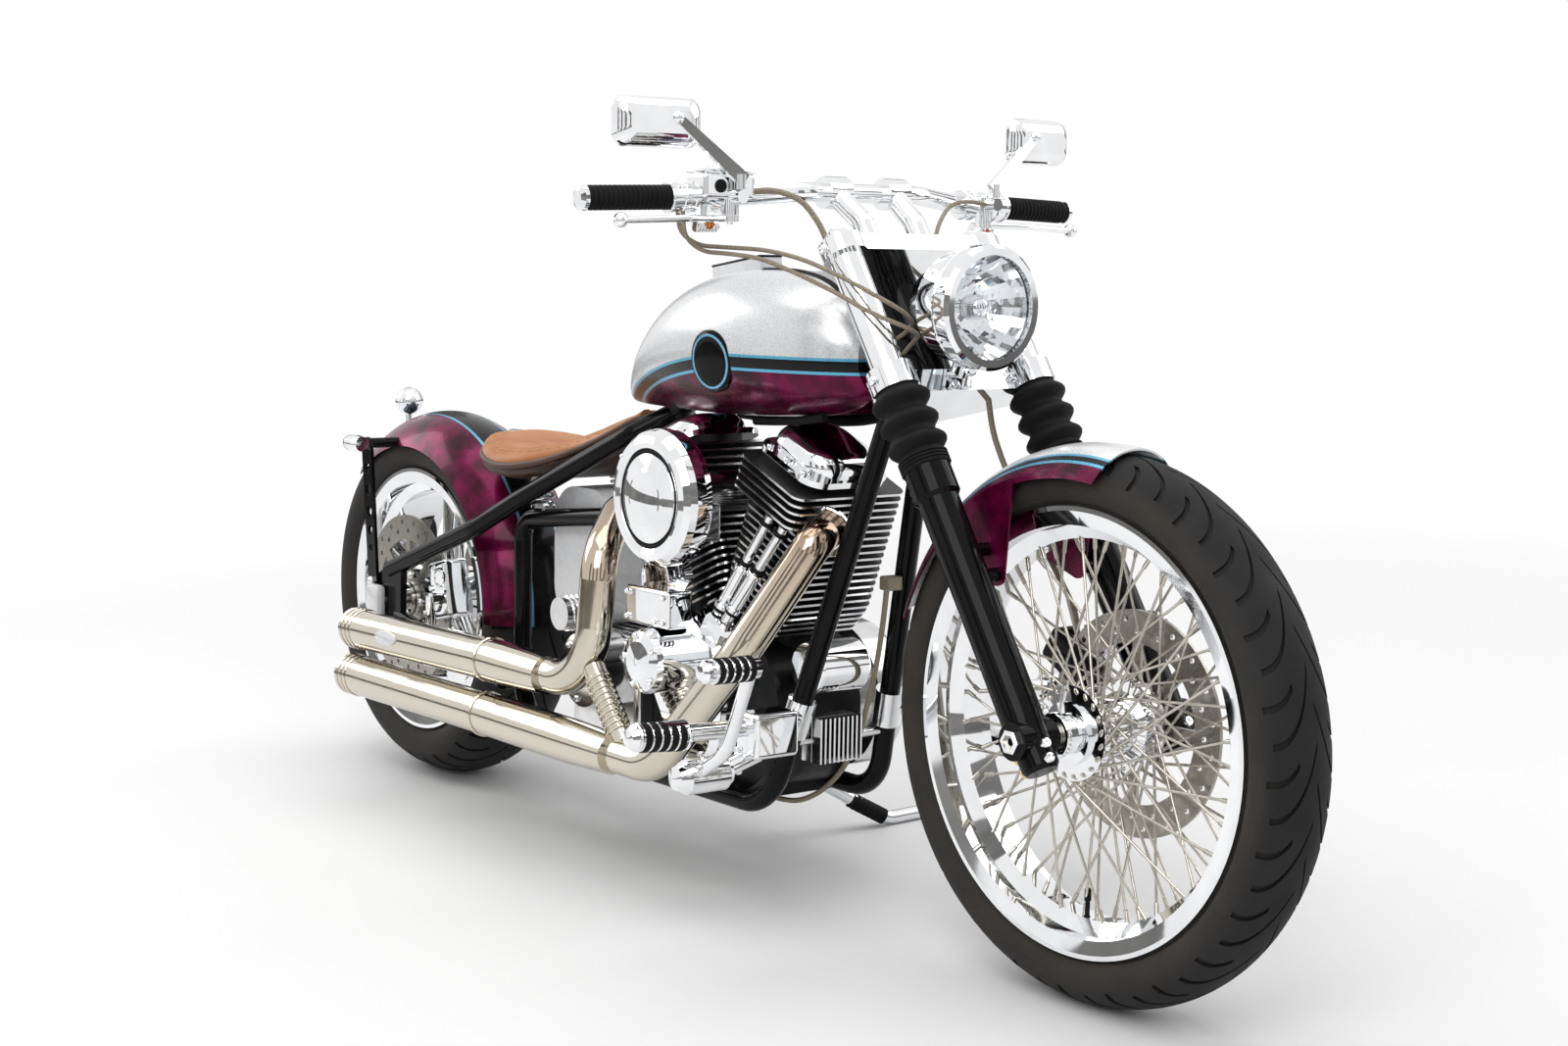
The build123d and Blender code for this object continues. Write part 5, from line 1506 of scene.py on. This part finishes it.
@dataclass
class Saddle:
    """Padded solo saddle with a burnished rim and a row of stitches."""

    # Place along the bike, half width and height of the rim.
    stations: tuple = ((238, 52, 622), (290, 112, 604), (380, 132, 588), (470, 98, 602), (560, 58, 638),
                       (632, 26, 682))
    voxel: float = 0.005
    swell: float = 0.006
    stitches: int = 84

    def rim(self, inset: float) -> list[Vector]:
        """Points round the saddle's edge.

        Args:
            inset: how far they move inward.

        Returns:
            The points of a closed loop.
        """
        rows = self.stations
        right = [Vector((x, inset - half, middle)) for x, half, middle in rows]
        left = [Vector((x, half - inset, middle)) for x, half, middle in reversed(rows)]
        tail = Vector((rows[0][0] - 6 + inset, 0, rows[0][2]))
        nose = Vector((rows[-1][0] + 4 - inset, 0, rows[-1][2] + 2))
        return right + [nose] + left + [tail]

    def pad(self) -> Piece:
        """Copy the plain solid, fill it out as cloth under pressure and smooth it.

        Returns:
            The pad, in the shared frame.
        """
        node = frame["nodes"]["seat"]
        pad = node.copy()
        pad.data = node.data.copy()
        pad.name = "saddle_pad"
        pad.parent = None
        pad.matrix_world = node.matrix_world
        bpy.context.collection.objects.link(pad)
        Bench.only(pad)
        bpy.ops.object.transform_apply(location=True, rotation=True, scale=True)
        bpy.ops.object.mode_set(mode="EDIT")
        bpy.ops.mesh.select_all(action="SELECT")
        bpy.ops.mesh.remove_doubles(threshold=0.00005)
        bpy.ops.object.mode_set(mode="OBJECT")
        pad.data.remesh_voxel_size = self.voxel
        bpy.ops.object.voxel_remesh()
        self.fill_out(pad)
        smooth = pad.modifiers.new("soft", "SUBSURF")
        smooth.levels = 1
        smooth.render_levels = 1
        bpy.ops.object.modifier_apply(modifier=smooth.name)
        return pad

    def fill_out(self, pad: Piece) -> None:
        """Let the cover swell under pressure, no point further than the swell field allows.

        Args:
            pad: the remeshed pad, which is the active object.
        """
        start = [vertex.co.copy() for vertex in pad.data.vertices]
        cloth = pad.modifiers.new("cover", "CLOTH")
        cloth.settings.use_pressure = True
        cloth.settings.uniform_pressure_force = 4.0
        cloth.settings.effector_weights.gravity = 0.0
        scene = bpy.context.scene
        for number in range(1, 21):
            scene.frame_set(number)
        bpy.ops.object.modifier_apply(modifier=cloth.name)
        scene.frame_set(1)
        for vertex, place in zip(pad.data.vertices, start):
            move = vertex.co - place
            if move.length > self.swell:
                vertex.co = place + move.normalized() * self.swell

    def on_top(self, pad: Piece, point: Vector) -> Vector:
        """Drop a point of the upright bike onto the pad's upper side.

        Args:
            pad: the pad, in the shared frame.
            point: the point to drop.

        Returns:
            The place on the pad, or the point itself where there is no pad under it.
        """
        above = PLACE @ (point + UP * 120)
        hit, place, _, _ = pad.ray_cast(above, PARKED.to_3x3() @ -UP)
        return PLACE.inverted() @ place if hit else point

    def below_rim(self, point: Vector) -> bool:
        """Tell the part under the rim, which takes the dark leather.

        Args:
            point: a point of the pad on the upright bike.

        Returns:
            True for a point under the rim.
        """
        rows = self.stations
        for (x, _, middle), (x2, _, middle2) in zip(rows, rows[1:]):
            if point.x < x2:
                share = (point.x - x) / (x2 - x)
                return point.z < middle + (middle2 - middle) * share - 9
        return point.z < rows[-1][2] - 9

    def build(self) -> None:
        """Pad, rim and stitches."""
        pad = self.pad()
        Bench.only(pad)
        bpy.ops.object.shade_smooth()
        PALETTE.dress(pad, "tan_leather")
        pad.data.materials.append(PALETTE.get("dark_leather"))
        for face in pad.data.polygons:
            face.material_index = int(self.below_rim(PLACE.inverted() @ face.center))
        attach(pad, Body.CHASSIS.value)
        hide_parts("seat")
        LOG.info("%s: %d faces", pad.name, len(pad.data.polygons))
        outline = Bench.wire("path", self.rim(15), 0.1, True, 0)
        knots = [vertex.co.copy() for vertex in outline.data.vertices][::4]
        bpy.data.objects.remove(outline)
        thread = Bench.lathe("saddle_stitches", [(0, -3.6), (1.1, -2.8), (1.3, 0), (1.1, 2.8), (0, 3.6)], 6)
        spots = []
        step = max(len(knots) // self.stitches, 1)
        for here, after in zip(knots[::step], knots[1::step]):
            low, high = self.on_top(pad, here), self.on_top(pad, after)
            spots.append(aim(low + UP * 0.4, high - low))
        Bench.spread(thread, spots, Body.CHASSIS, "thread", "tan_leather")
        welt = Bench.wire("saddle_rim", [point - UP * 6 for point in self.rim(-3.5)], 6.0, True, 4)
        Bench.done(welt, Body.CHASSIS, "dark_leather", "tan_leather")


def seats_on(node: str, starts: Sequence[Point], along: Point) -> list[Matrix]:
    """Places on a CAD node's surface where rays first meet it, each standing on the surface.

    Args:
        node: name of the CAD node.
        starts: where the rays start.
        along: which way they go.

    Returns:
        One matrix for each ray that meets the node.
    """
    shape = frame["nodes"][node]
    turn = PARKED.to_3x3()
    spots = []
    for start in starts:
        hit, place, normal, _ = shape.ray_cast(PLACE @ Vector(start), turn @ Vector(along))
        if hit:
            spots.append(aim(PLACE.inverted() @ place, turn.inverted() @ normal))
        else:
            LOG.warning("no %s under %s", node, tuple(start))
    return spots


@dataclass
class Engine:
    """Screws, collars, rings and ribs of engine and gearbox, the cleaner's dome, and the loom, whose black also
    paints shade into the gap under the tank.
    """

    cleaner: Triple = (940, -164, 587)
    dome_radius: float = 63.0
    under_tank: float = 300.0
    rocker_top: float = 470.0
    pushrods: tuple = ((36, 14), (64, 48))
    tube_ends: tuple[float, float] = (137, 325)
    block: tuple[float, float] = (888, 422)
    starter: Triple = (600, -92, 372)
    can: Triple = (852, -139, 455)
    ribs: Triple = (646, -84, 341)
    # Runs of the loom, whose black also stands in as painted shade under the tank: side, drop below the tank,
    # radius and places along it.
    loom_and_shade_runs: tuple = ((58, 11, 9, range(790, 1191, 80)), (-58, 8, 6.5, range(985, 1146, 40)))
    edge_screws: tuple = ((740, 375), (840, 370), (740, 188), (840, 184))
    # Node, centre in x and z, radius, side that it faces and angles of the screws.
    circles: tuple = (
        ("cam_cover", 902, 345, 60, -1, (80, 135, 180, 225)),
        ("cam_cover", 955, 255, 50, -1, (-150, -100, -50, 0, 45)),
        ("cam_cover", 902, 345, 38, -1, range(30, 390, 72)),
        ("transmission", 660, 292, 49, -1, range(15, 375, 60)),
        ("primary_cover", 640, 285, 53, 1, range(18, 378, 72)),
        ("primary_cover", 945, 275, 92, 1, (-90, -45, 0, 45, 90)),
        ("primary_cover", 640, 285, 92, 1, (90, 135, 180, 225, 270)),
    )

    def screws(self) -> None:
        """Socket screws on the covers, each standing on its cover."""
        spots = []
        for bank in (-1, 1):
            starts = [bank_point(bank, self.rocker_top, out, side)
                      for side in (-88, 48) for out in (-42, 0, 42)]
            spots += seats_on("valve_gear", starts, -bank_axis(bank))
        for node, x, z, radius, side, angles in self.circles:
            starts = [wheel_point(Vector((x, 0, z)), radius, angle, side * OUTSIDE) for angle in angles]
            spots += seats_on(node, starts, LEFT * -side)
        block_x, block_z = self.block
        starts = [(block_x + x, -OUTSIDE, block_z + z) for x in (-46, 46) for z in (-18, 18)]
        spots += seats_on("cam_cover", starts, LEFT)
        starts = [(x, OUTSIDE, z) for x, z in self.edge_screws]
        spots += seats_on("primary_cover", starts, RIGHT)
        Bench.spread(screw("engine_screws", 5.2, 5), spots, Body.CHASSIS, "chrome")

    def tubes(self) -> None:
        """Collars and rubber seals on the pushrod tubes."""
        collars, seals = [], []
        bottom, top = self.tube_ends
        for bank in (-1, 1):
            for foot, head in self.pushrods:
                low = CRANK + Vector((bank * foot, -122, bottom))
                high = bank_point(bank, top, head, -101)
                run = high - low
                for share in (0.14, 0.5):
                    collars.append(aim(low + run * share, run))
                for share in (0.1, 0.55, 0.93):
                    seals.append(aim(low + run * share, run))
        Bench.spread(band("pushrod_collars", 7, 13, 4.5, 1.5, 28), collars, Body.CHASSIS, "chrome")
        Bench.spread(band("pushrod_seals", 7, 12, 2, 1, 24), seals, Body.CHASSIS, "black_rubber")

    def air_cleaner(self) -> None:
        """Smooth dome, black ring in the groove and three small screws."""
        groove = aim(Vector(self.cleaner) + RIGHT * 46, RIGHT)
        Bench.spread(band("cleaner_ring", 65.5, 71.5, 2.6, 1, 80), [groove], Body.CHASSIS, "black_rubber")
        x, _, z = self.cleaner
        reach = self.dome_radius
        crown, edge = seats_on("air_cleaner", [(x, -OUTSIDE, z), (x + reach, -OUTSIDE, z)], LEFT)
        rise = edge.translation.y - crown.translation.y + 0.6
        sphere = (reach ** 2 + rise ** 2) / (2 * rise)
        arc = [(reach * step / 20, math.sqrt(sphere ** 2 - (reach * step / 20) ** 2) - sphere + rise)
               for step in range(20, -1, -1)]
        dome = Bench.lathe("cleaner_dome", [(0, -1), (reach, -1)] + arc, 80)
        Bench.spread(dome, [aim((x, edge.translation.y, z), RIGHT)], Body.CHASSIS, "chrome")
        starts = [wheel_point(Vector((x, 0, z)), 90, angle, -OUTSIDE) for angle in (38, 142, 270)]
        spots = seats_on("air_cleaner", starts, LEFT)
        Bench.spread(screw("cleaner_screws", 3, 2), spots, Body.CHASSIS, "chrome")

    def loom_and_painted_shade(self) -> None:
        """Sleeved wires and a hose that hang under the tank. They are black so that they also stand in as painted
        shade, filling the gap between tank and engine.
        """
        runs = []
        for y, drop, radius, places in self.loom_and_shade_runs:
            spots = seats_on("fuel_tank", [(x, y, self.under_tank) for x in places], UP)
            runs.append(Bench.wire("tank_loom_and_painted_shade", [spot.translation - UP * drop for spot in spots], radius))
        Bench.done(Bench.join(runs[0], runs[1:]), Body.CHASSIS, "black_rubber")

    def gearbox(self) -> None:
        """Ribs on the gearbox, rings round the starter and round the can on the cam cover."""
        ribs = [Matrix.Translation(Vector(self.ribs) + LEFT * step * 21) for step in range(8)]
        Bench.spread(Bench.brick("gearbox_ribs", (164, 5, 9), 1.5), ribs, Body.CHASSIS, "engine_alloy")
        rings = [aim(Vector(self.starter) + RIGHT * step * 9, LEFT) for step in range(6)]
        Bench.spread(band("starter_rings", 25, 28.5, 2, 1), rings, Body.CHASSIS, "chrome")
        can = [aim(Vector(self.can) + LEFT * step * 12, LEFT) for step in range(3)]
        Bench.spread(band("can_rings", 33, 36, 2.4, 1.2), can, Body.CHASSIS, "chrome")

    def build(self) -> None:
        """Make all of it."""
        self.screws()
        self.tubes()
        self.air_cleaner()
        self.loom_and_painted_shade()
        self.gearbox()


@dataclass
class Exhaust:
    """Sleeve skins, clamps, end rings, the bare plate, crossover ribs and port flanges."""

    runs: tuple = (((511, -222, 205), (44, -225, 202), 360), ((511, -214, 291), (44, -217, 281), 160))
    bore: float = 30.0
    skin: float = 34.0
    crossover: tuple = ((884, -214, 222), (790, -207, 320))
    plate: Triple = (214, -247.5, 288)
    ports: tuple = (((1150, -54, 553), (23, -46, -15)), ((737, -57, 554), (-34, -64, -10)))

    def build(self) -> None:
        """Make all of it."""
        clamps, rings, tips, skins = [], [], [], []
        for start, end, sleeve in self.runs:
            first, last = Vector(start), Vector(end)
            run = (last - first).normalized()
            clamps.append(aim(first + run * 8, run))
            for shift in (7, 21, 35):
                rings.append(aim(last - run * shift, run))
            tips.append(aim(last - run * 1.5, run))
            reach = sleeve - 2
            profile = [(29.5, -2), (self.skin, -2), (self.skin, reach - 110), (32, reach - 50), (30, reach),
                       (29.5, reach), (29.5, -2)]
            skins.append(Bench.put(Bench.lathe("sleeve_skin", profile, 48), aim(first, AHEAD)))
        Bench.done(Bench.join(skins[0], skins[1:]), Body.CHASSIS, "exhaust_steel")
        clamp = band("muffler_clamps", 30, self.skin + 2.6, 3.6, 1.4, 48)
        Bench.spread(clamp, clamps, Body.CHASSIS, "exhaust_steel")
        ring = band("muffler_rings", 33.5, self.skin + 1.8, 3.4, 1.2, 48)
        Bench.spread(ring, rings, Body.CHASSIS, "exhaust_steel")
        tip = band("muffler_tips", self.bore + 0.3, self.skin + 1.4, 2, 1, 48)
        Bench.spread(tip, tips, Body.CHASSIS, "chrome", "exhaust_steel")
        low, high = (Vector(end) for end in self.crossover)
        ribs = [aim(low + (high - low) * (0.16 + 0.075 * step), high - low) for step in range(10)]
        Bench.spread(band("crossover_ribs", 16.5, 20, 2.6, 1.4, 32), ribs, Body.CHASSIS, "exhaust_steel")
        oval = [(34 * math.cos(a * math.pi / 16), 12 * math.sin(a * math.pi / 16)) for a in range(32)]
        outward = aim(self.plate, (0, -1, 0.14))
        Bench.spread(Bench.plate("muffler_plate", oval, 5, 1), [outward], Body.CHASSIS, "silver_paint")
        flanges = [aim(port, along) for port, along in self.ports]
        flange = band("port_flanges", 27.2, 37, 4, 1.5, 40)
        Bench.spread(flange, flanges, Body.CHASSIS, "chrome", "exhaust_steel")


@dataclass
class FootControls:
    """Grooved rubbers on the pegs and pads, with screws on the mounts."""

    peg: tuple = ((1200, 190, 290), (1196, 400, 306))
    pad: tuple = ((1349, 322, 414), (1352, 400, 416))
    bands: int = 5
    mount: tuple[float, float] = (1200, 290)
    low_screw: tuple[float, float] = (1182, 240)
    ray_start: float = 320.0

    def sleeve(self, name: str, length: float, radius: float, spots: Sequence[Matrix]) -> None:
        """Bands of rubber with bright rings between them.

        Args:
            name: name of the rubber piece.
            length: length of the row of bands.
            radius: outer radius of the rubber.
            spots: where each row starts, z pointing along it.
        """
        pitch = length / self.bands
        rubber, bright = [], []
        for spot in spots:
            for step in range(self.bands):
                rubber.append(spot @ Matrix.Translation((0, 0, (step + 0.5) * pitch)))
                bright.append(spot @ Matrix.Translation((0, 0, (step + 1) * pitch)))
        band_piece = band(name, radius - 3.5, radius, pitch / 2 - 1.7, 1.6, 36)
        Bench.spread(band_piece, rubber, Body.CHASSIS, "black_rubber")
        ring_piece = band(name + "_rings", radius - 3.5, radius - 0.8, 1.5, 0.6, 36)
        Bench.spread(ring_piece, bright, Body.CHASSIS, "chrome")

    def build(self) -> None:
        """Make all of it."""
        pegs, pads, rings = [], [], []
        for side in (-1, 1):
            inner, outer = (Vector((x, side * y, z)) for x, y, z in self.peg)
            run = (outer - inner).normalized()
            pegs.append(aim(outer - run * 70, run))
            rings += [aim(outer - run * 73, run), aim(outer + run * 1, run)]
            inner, outer = (Vector((x, side * y, z)) for x, y, z in self.pad)
            pads.append(aim(inner + (outer - inner) * 0.1, outer - inner))
        self.sleeve("peg_rubbers", 68, 20, pegs)
        self.sleeve("pad_rubbers", 62, 16.8, pads)
        Bench.spread(band("peg_rings", 16.5, 19.6, 2.4, 1), rings, Body.CHASSIS, "chrome")
        (mount_x, mount_z), (low_x, low_z) = self.mount, self.low_screw
        for side, node in ((-1, "right_foot_controls"), (1, "left_foot_controls")):
            start = side * self.ray_start
            starts = [(mount_x + x, start, mount_z + z) for x in (-16, 16) for z in (-22, 22)]
            spots = seats_on(node, starts + [(low_x, start, low_z)], LEFT * -side)
            name = node.split("_")[0] + "_mount_screws"
            Bench.spread(screw(name, 5.5, 5), spots, Body.CHASSIS, "chrome")


@dataclass
class RearEnd:
    """Piston and axle covers, nuts, screws, lamp ball and lenses at the back."""

    lamp: Triple = (-165, 0, 656)
    ball: float = 25.0
    axle_cover: Triple = (-4, 154.5, 318)
    strut_bolts: tuple = ((-24, 350), (-46, 590))
    caliper: tuple[float, float] = (150, 352)
    caliper_tilt: float = -14.0
    screw_circle: float = 47.0
    indicator: Triple = (-46, 166, 592)

    def build(self) -> None:
        """Make all of it."""
        self.brake()
        self.lenses()
        x, y, z = self.axle_cover
        covers = [Matrix.Translation((x, side * y, z)) for side in (-1, 1)]
        Bench.spread(Bench.brick("axle_covers", (46, 19, 58), 8), covers, Body.CHASSIS, "silver_paint")
        bolts = []
        for side in (-1, 1):
            starts = [(bolt_x, side * OUTSIDE, bolt_z) for bolt_x, bolt_z in self.strut_bolts]
            bolts += seats_on("fender_struts", starts, LEFT * -side)
        Bench.spread(acorn("strut_nuts", 9, 9), bolts, Body.CHASSIS, "chrome")

    def brake(self) -> None:
        """Piston covers and screws on the caliper, screws on the disc and pulley."""
        tilt = math.radians(self.caliper_tilt)
        along = Vector((-math.sin(tilt), 0, math.cos(tilt)))
        x, z = self.caliper
        middle = Vector((x, -OUTSIDE, z))
        covers = seats_on("rear_caliper", [middle + along * shift for shift in (-23, 23)], LEFT)
        profile = [(0, -1), (17, -1), (17, 2), (15.5, 3), (13, 3), (12, 2), (0, 2.4)]
        Bench.spread(Bench.lathe("piston_covers", profile, 32), covers, Body.CHASSIS, "chrome")
        corners = ((22, -38), (-22, 0), (22, 0), (-22, 38))
        starts = [middle + AHEAD * ahead + along * shift for ahead, shift in corners]
        spots = seats_on("rear_caliper", starts, LEFT)
        Bench.spread(screw("caliper_screws", 5, 4), spots, Body.CHASSIS, "chrome")
        spots = []
        for node, side in (("rear_disc", -1), ("rear_pulley", 1)):
            start = side * OUTSIDE
            starts = [wheel_point(REAR_AXLE, self.screw_circle, 72 * number, start) for number in range(5)]
            spots += seats_on(node, starts, LEFT * -side)
        Bench.spread(screw("hub_screws", 6.5, 6), spots, Body.REAR_WHEEL, "chrome")

    def lenses(self) -> None:
        """Red cap on the ball lamp and amber ends on the indicators."""
        back = aim(self.lamp, -AHEAD)
        turns = [math.radians(angle) for angle in range(-90, 91, 9)]
        ball = [(self.ball * math.cos(turn), self.ball * math.sin(turn)) for turn in turns]
        Bench.spread(Bench.lathe("tail_ball", ball, 40), [back], Body.CHASSIS, "chrome", angle=60)
        turns = [math.radians(angle) for angle in range(42, -1, -6)]
        cap = self.ball + 0.5
        arc = [(cap * math.sin(turn), cap * math.cos(turn)) for turn in turns]
        red = Bench.lathe("tail_lens", [(16.4, 18.2)] + arc, 32)
        Bench.spread(red, [back], Body.CHASSIS, "red_lens", "clear_glass")
        ring = aim(Vector(self.lamp) - AHEAD * 18.4, AHEAD)
        Bench.spread(band("tail_lens_ring", 15.5, 19, 1.6, 0.7), [ring], Body.CHASSIS, "chrome")
        x, y, z = self.indicator
        ends = [aim((x, side * y, z), -AHEAD) for side in (-1, 1)]
        profile = [(12.8, 30), (13.4, 30.2), (11, 36), (6.8, 42.4), (0, 44.7)]
        amber = Bench.lathe("tail_indicators", profile, 28)
        Bench.spread(amber, ends, Body.CHASSIS, "amber_lens", "clear_glass")


@dataclass
class StandTip:
    """Rubber sleeve on the side stand's leg."""

    pivot: Triple = (780, 136, 138)
    toe: Triple = (845, 320, 33.2)
    length: float = 66.0

    def build(self) -> None:
        """Ribbed sleeve that stops short of the ground."""
        run = (Vector(self.pivot) - Vector(self.toe)).normalized()
        profile = [(11.1, 0), (12.6, 0)]
        for step in range(6):
            start = 2 + step * 10
            profile += [(13, start), (13, start + 7), (12.2, start + 8), (12.2, start + 9.5)]
        profile += [(12.6, self.length), (11.1, self.length), (11.1, 0)]
        sleeve = Bench.lathe("stand_sleeve", profile, 28)
        Bench.spread(sleeve, [aim(Vector(self.toe) + run * 6, run)], Body.STAND, "black_rubber")


@dataclass
class Studio:
    """Camera, lamps, floor and surroundings."""

    eye: Triple = (3.749, -2.104, 0.937)
    yaw: float = 142.777
    pitch: float = 6.447
    roll: float = 0.892
    lens: float = 54.84
    floor_size: float = 60.0
    fade: tuple[float, float] = (1.2, 3.4)
    card_count: int = 16
    open_cards: range = range(8, 12)
    card_reach: float = 5.6

    def build(self) -> None:
        """Make everything that isn't the motorcycle."""
        self.camera()
        self.floor()
        self.lamps()
        self.cards()
        self.surroundings()
        bpy.context.scene.view_settings.view_transform = "Standard"

    def camera(self) -> None:
        """Camera at the photograph's angle, carried with the parked bike."""
        yaw, pitch, roll = (math.radians(v) for v in (self.yaw, self.pitch, self.roll))
        ahead = Vector((math.cos(yaw) * math.cos(pitch), math.sin(yaw) * math.cos(pitch), -math.sin(pitch)))
        right = Vector((math.sin(yaw), -math.cos(yaw), 0))
        up = right.cross(ahead)
        across = right * math.cos(roll) + up * math.sin(roll)
        above = up * math.cos(roll) - right * math.sin(roll)
        turn = Matrix((across, above, -ahead)).transposed().to_4x4()
        bpy.ops.object.camera_add()
        camera = bpy.context.object
        camera.matrix_world = PARKED @ Matrix.Translation(self.eye) @ turn
        camera.data.lens = self.lens
        camera.data.sensor_width = 36.0
        bpy.context.scene.camera = camera

    def floor(self) -> None:
        """Pale floor that keeps the shadow and turns into plain white further out."""
        bpy.ops.mesh.primitive_plane_add(size=self.floor_size)
        floor = bpy.context.object
        floor.name = "floor"
        net = Net("pale_floor")
        where = net.place()
        net.colour(net.mix(net.noise(where, 2.0, 4), (0.9, 0.9, 0.9), (0.94, 0.94, 0.94)))
        net.set(Roughness=0.5)
        far = net.remap(net.vector("LENGTH", where).outputs["Value"], *self.fade, 0, 1)
        path = net.add("LightPath")
        seen = net.math("MAXIMUM", path.outputs["Is Camera Ray"], path.outputs["Is Glossy Ray"])
        white = net.add("Emission")
        blend = net.add("MixShader")
        net.link(net.math("MULTIPLY", far, seen), blend.inputs[0])
        net.link(net.shader.outputs[0], blend.inputs[1])
        net.link(white.outputs[0], blend.inputs[2])
        net.link(blend.outputs[0], net.tree.nodes["Material Output"].inputs["Surface"])
        floor.data.materials.append(net.material)

    def lamps(self) -> None:
        """Large soft lamps overhead and to both sides."""
        rows = (
            ("key", (2.5, -3.0, 3.6), 3.0, 95.0),
            ("fill", (1.5, 3.5, 2.6), 3.0, 50.0),
            ("top", (0.0, 0.0, 4.2), 3.6, 70.0),
            ("back", (-3.2, -1.5, 2.4), 2.0, 40.0),
        )
        for name, spot, size, power in rows:
            bpy.ops.object.light_add(type="AREA", location=spot)
            lamp = bpy.context.object
            lamp.name = name
            lamp.data.size = size
            lamp.data.energy = power
            lamp.rotation_mode = "QUATERNION"
            lamp.rotation_quaternion = (Vector((0, 0, 0.5)) - Vector(spot)).to_track_quat("-Z", "Y")

    def cards(self) -> None:
        """Dark cards out of the camera's sight that give the chrome its contrast."""
        net = Net("dark_card")
        net.colour(net.mix(net.noise(net.place(), 1.2, 3), (0.04, 0.04, 0.042), (0.5, 0.49, 0.47)))
        net.set(Roughness=0.9)
        for number in range(self.card_count):
            turn = Matrix.Rotation(2 * math.pi * number / self.card_count, 4, "Z")
            for name, height, middle, wide in (("flag", 2.9, 1.9, 1.0), ("skirt", 0.5, 0.3, 2.25)):
                if name == "flag" and number in self.open_cards:
                    continue
                bpy.ops.mesh.primitive_plane_add(size=1)
                card = bpy.context.object
                card.name = f"{name}_{number}"
                out = Matrix.Translation((self.card_reach, 0, middle))
                upright = out @ Matrix.Rotation(math.pi / 2, 4, "Y")
                card.data.transform(turn @ upright @ Matrix.Diagonal((height, wide, 1, 1)))
                card.data.materials.append(net.material)
                card.visible_camera = False
                card.visible_diffuse = False
                card.visible_shadow = False

    def surroundings(self) -> None:
        """White to the camera and in reflections, softer as a light."""
        world = bpy.data.worlds.new("studio")
        bpy.context.scene.world = world
        world.use_nodes = True
        tree = world.node_tree
        path = tree.nodes.new("ShaderNodeLightPath")
        seen = path.outputs["Is Camera Ray"]
        for name in ("Is Transmission Ray", "Is Glossy Ray"):
            either = tree.nodes.new("ShaderNodeMath")
            either.operation = "MAXIMUM"
            tree.links.new(seen, either.inputs[0])
            tree.links.new(path.outputs[name], either.inputs[1])
            seen = either.outputs[0]
        strength = tree.nodes.new("ShaderNodeMapRange")
        strength.inputs["To Min"].default_value = 0.4
        strength.inputs["To Max"].default_value = 1.0
        tree.links.new(seen, strength.inputs[0])
        shade = tree.nodes["Background"]
        shade.inputs["Color"].default_value = (1, 1, 1, 1)
        tree.links.new(strength.outputs[0], shade.inputs["Strength"])


def dress_nodes() -> None:
    """Give every CAD node its own finish, or else that of its slot."""
    for row in frame["record"]["subparts"]:
        node = row["node"]
        PALETTE.dress(frame["nodes"][node], NODE_FINISH.get(node, row["material_slot"]))


def pieces() -> list:
    """The sub-assemblies, in the order they are built.

    Returns:
        One object for each, with a build method.
    """
    front = Tyre("front_tyre", FRONT_AXLE, Body.FRONT_WHEEL, 350, 58, 283, 41.7, 22, 50, pitches=24)
    rear = Tyre("rear_tyre", REAR_AXLE, Body.REAR_WHEEL, 316, 87, 232, 66.7, 30, 77, pitches=20, sweep=110)
    return [front, rear, WireWheel(), Fork(), Lamp(), HandControls(), TankTrim(), Saddle(), Engine(),
            Exhaust(), FootControls(), RearEnd(), StandTip()]


def main() -> None:
    """Build the studio and the pieces in order and report each one."""
    logging.basicConfig(level=logging.INFO, format="%(message)s")
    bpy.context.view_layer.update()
    Studio().build()
    dress_nodes()
    for piece in pieces():
        LOG.info("building %s", type(piece).__name__)
        piece.build()


if __name__ == "__main__":
    main()
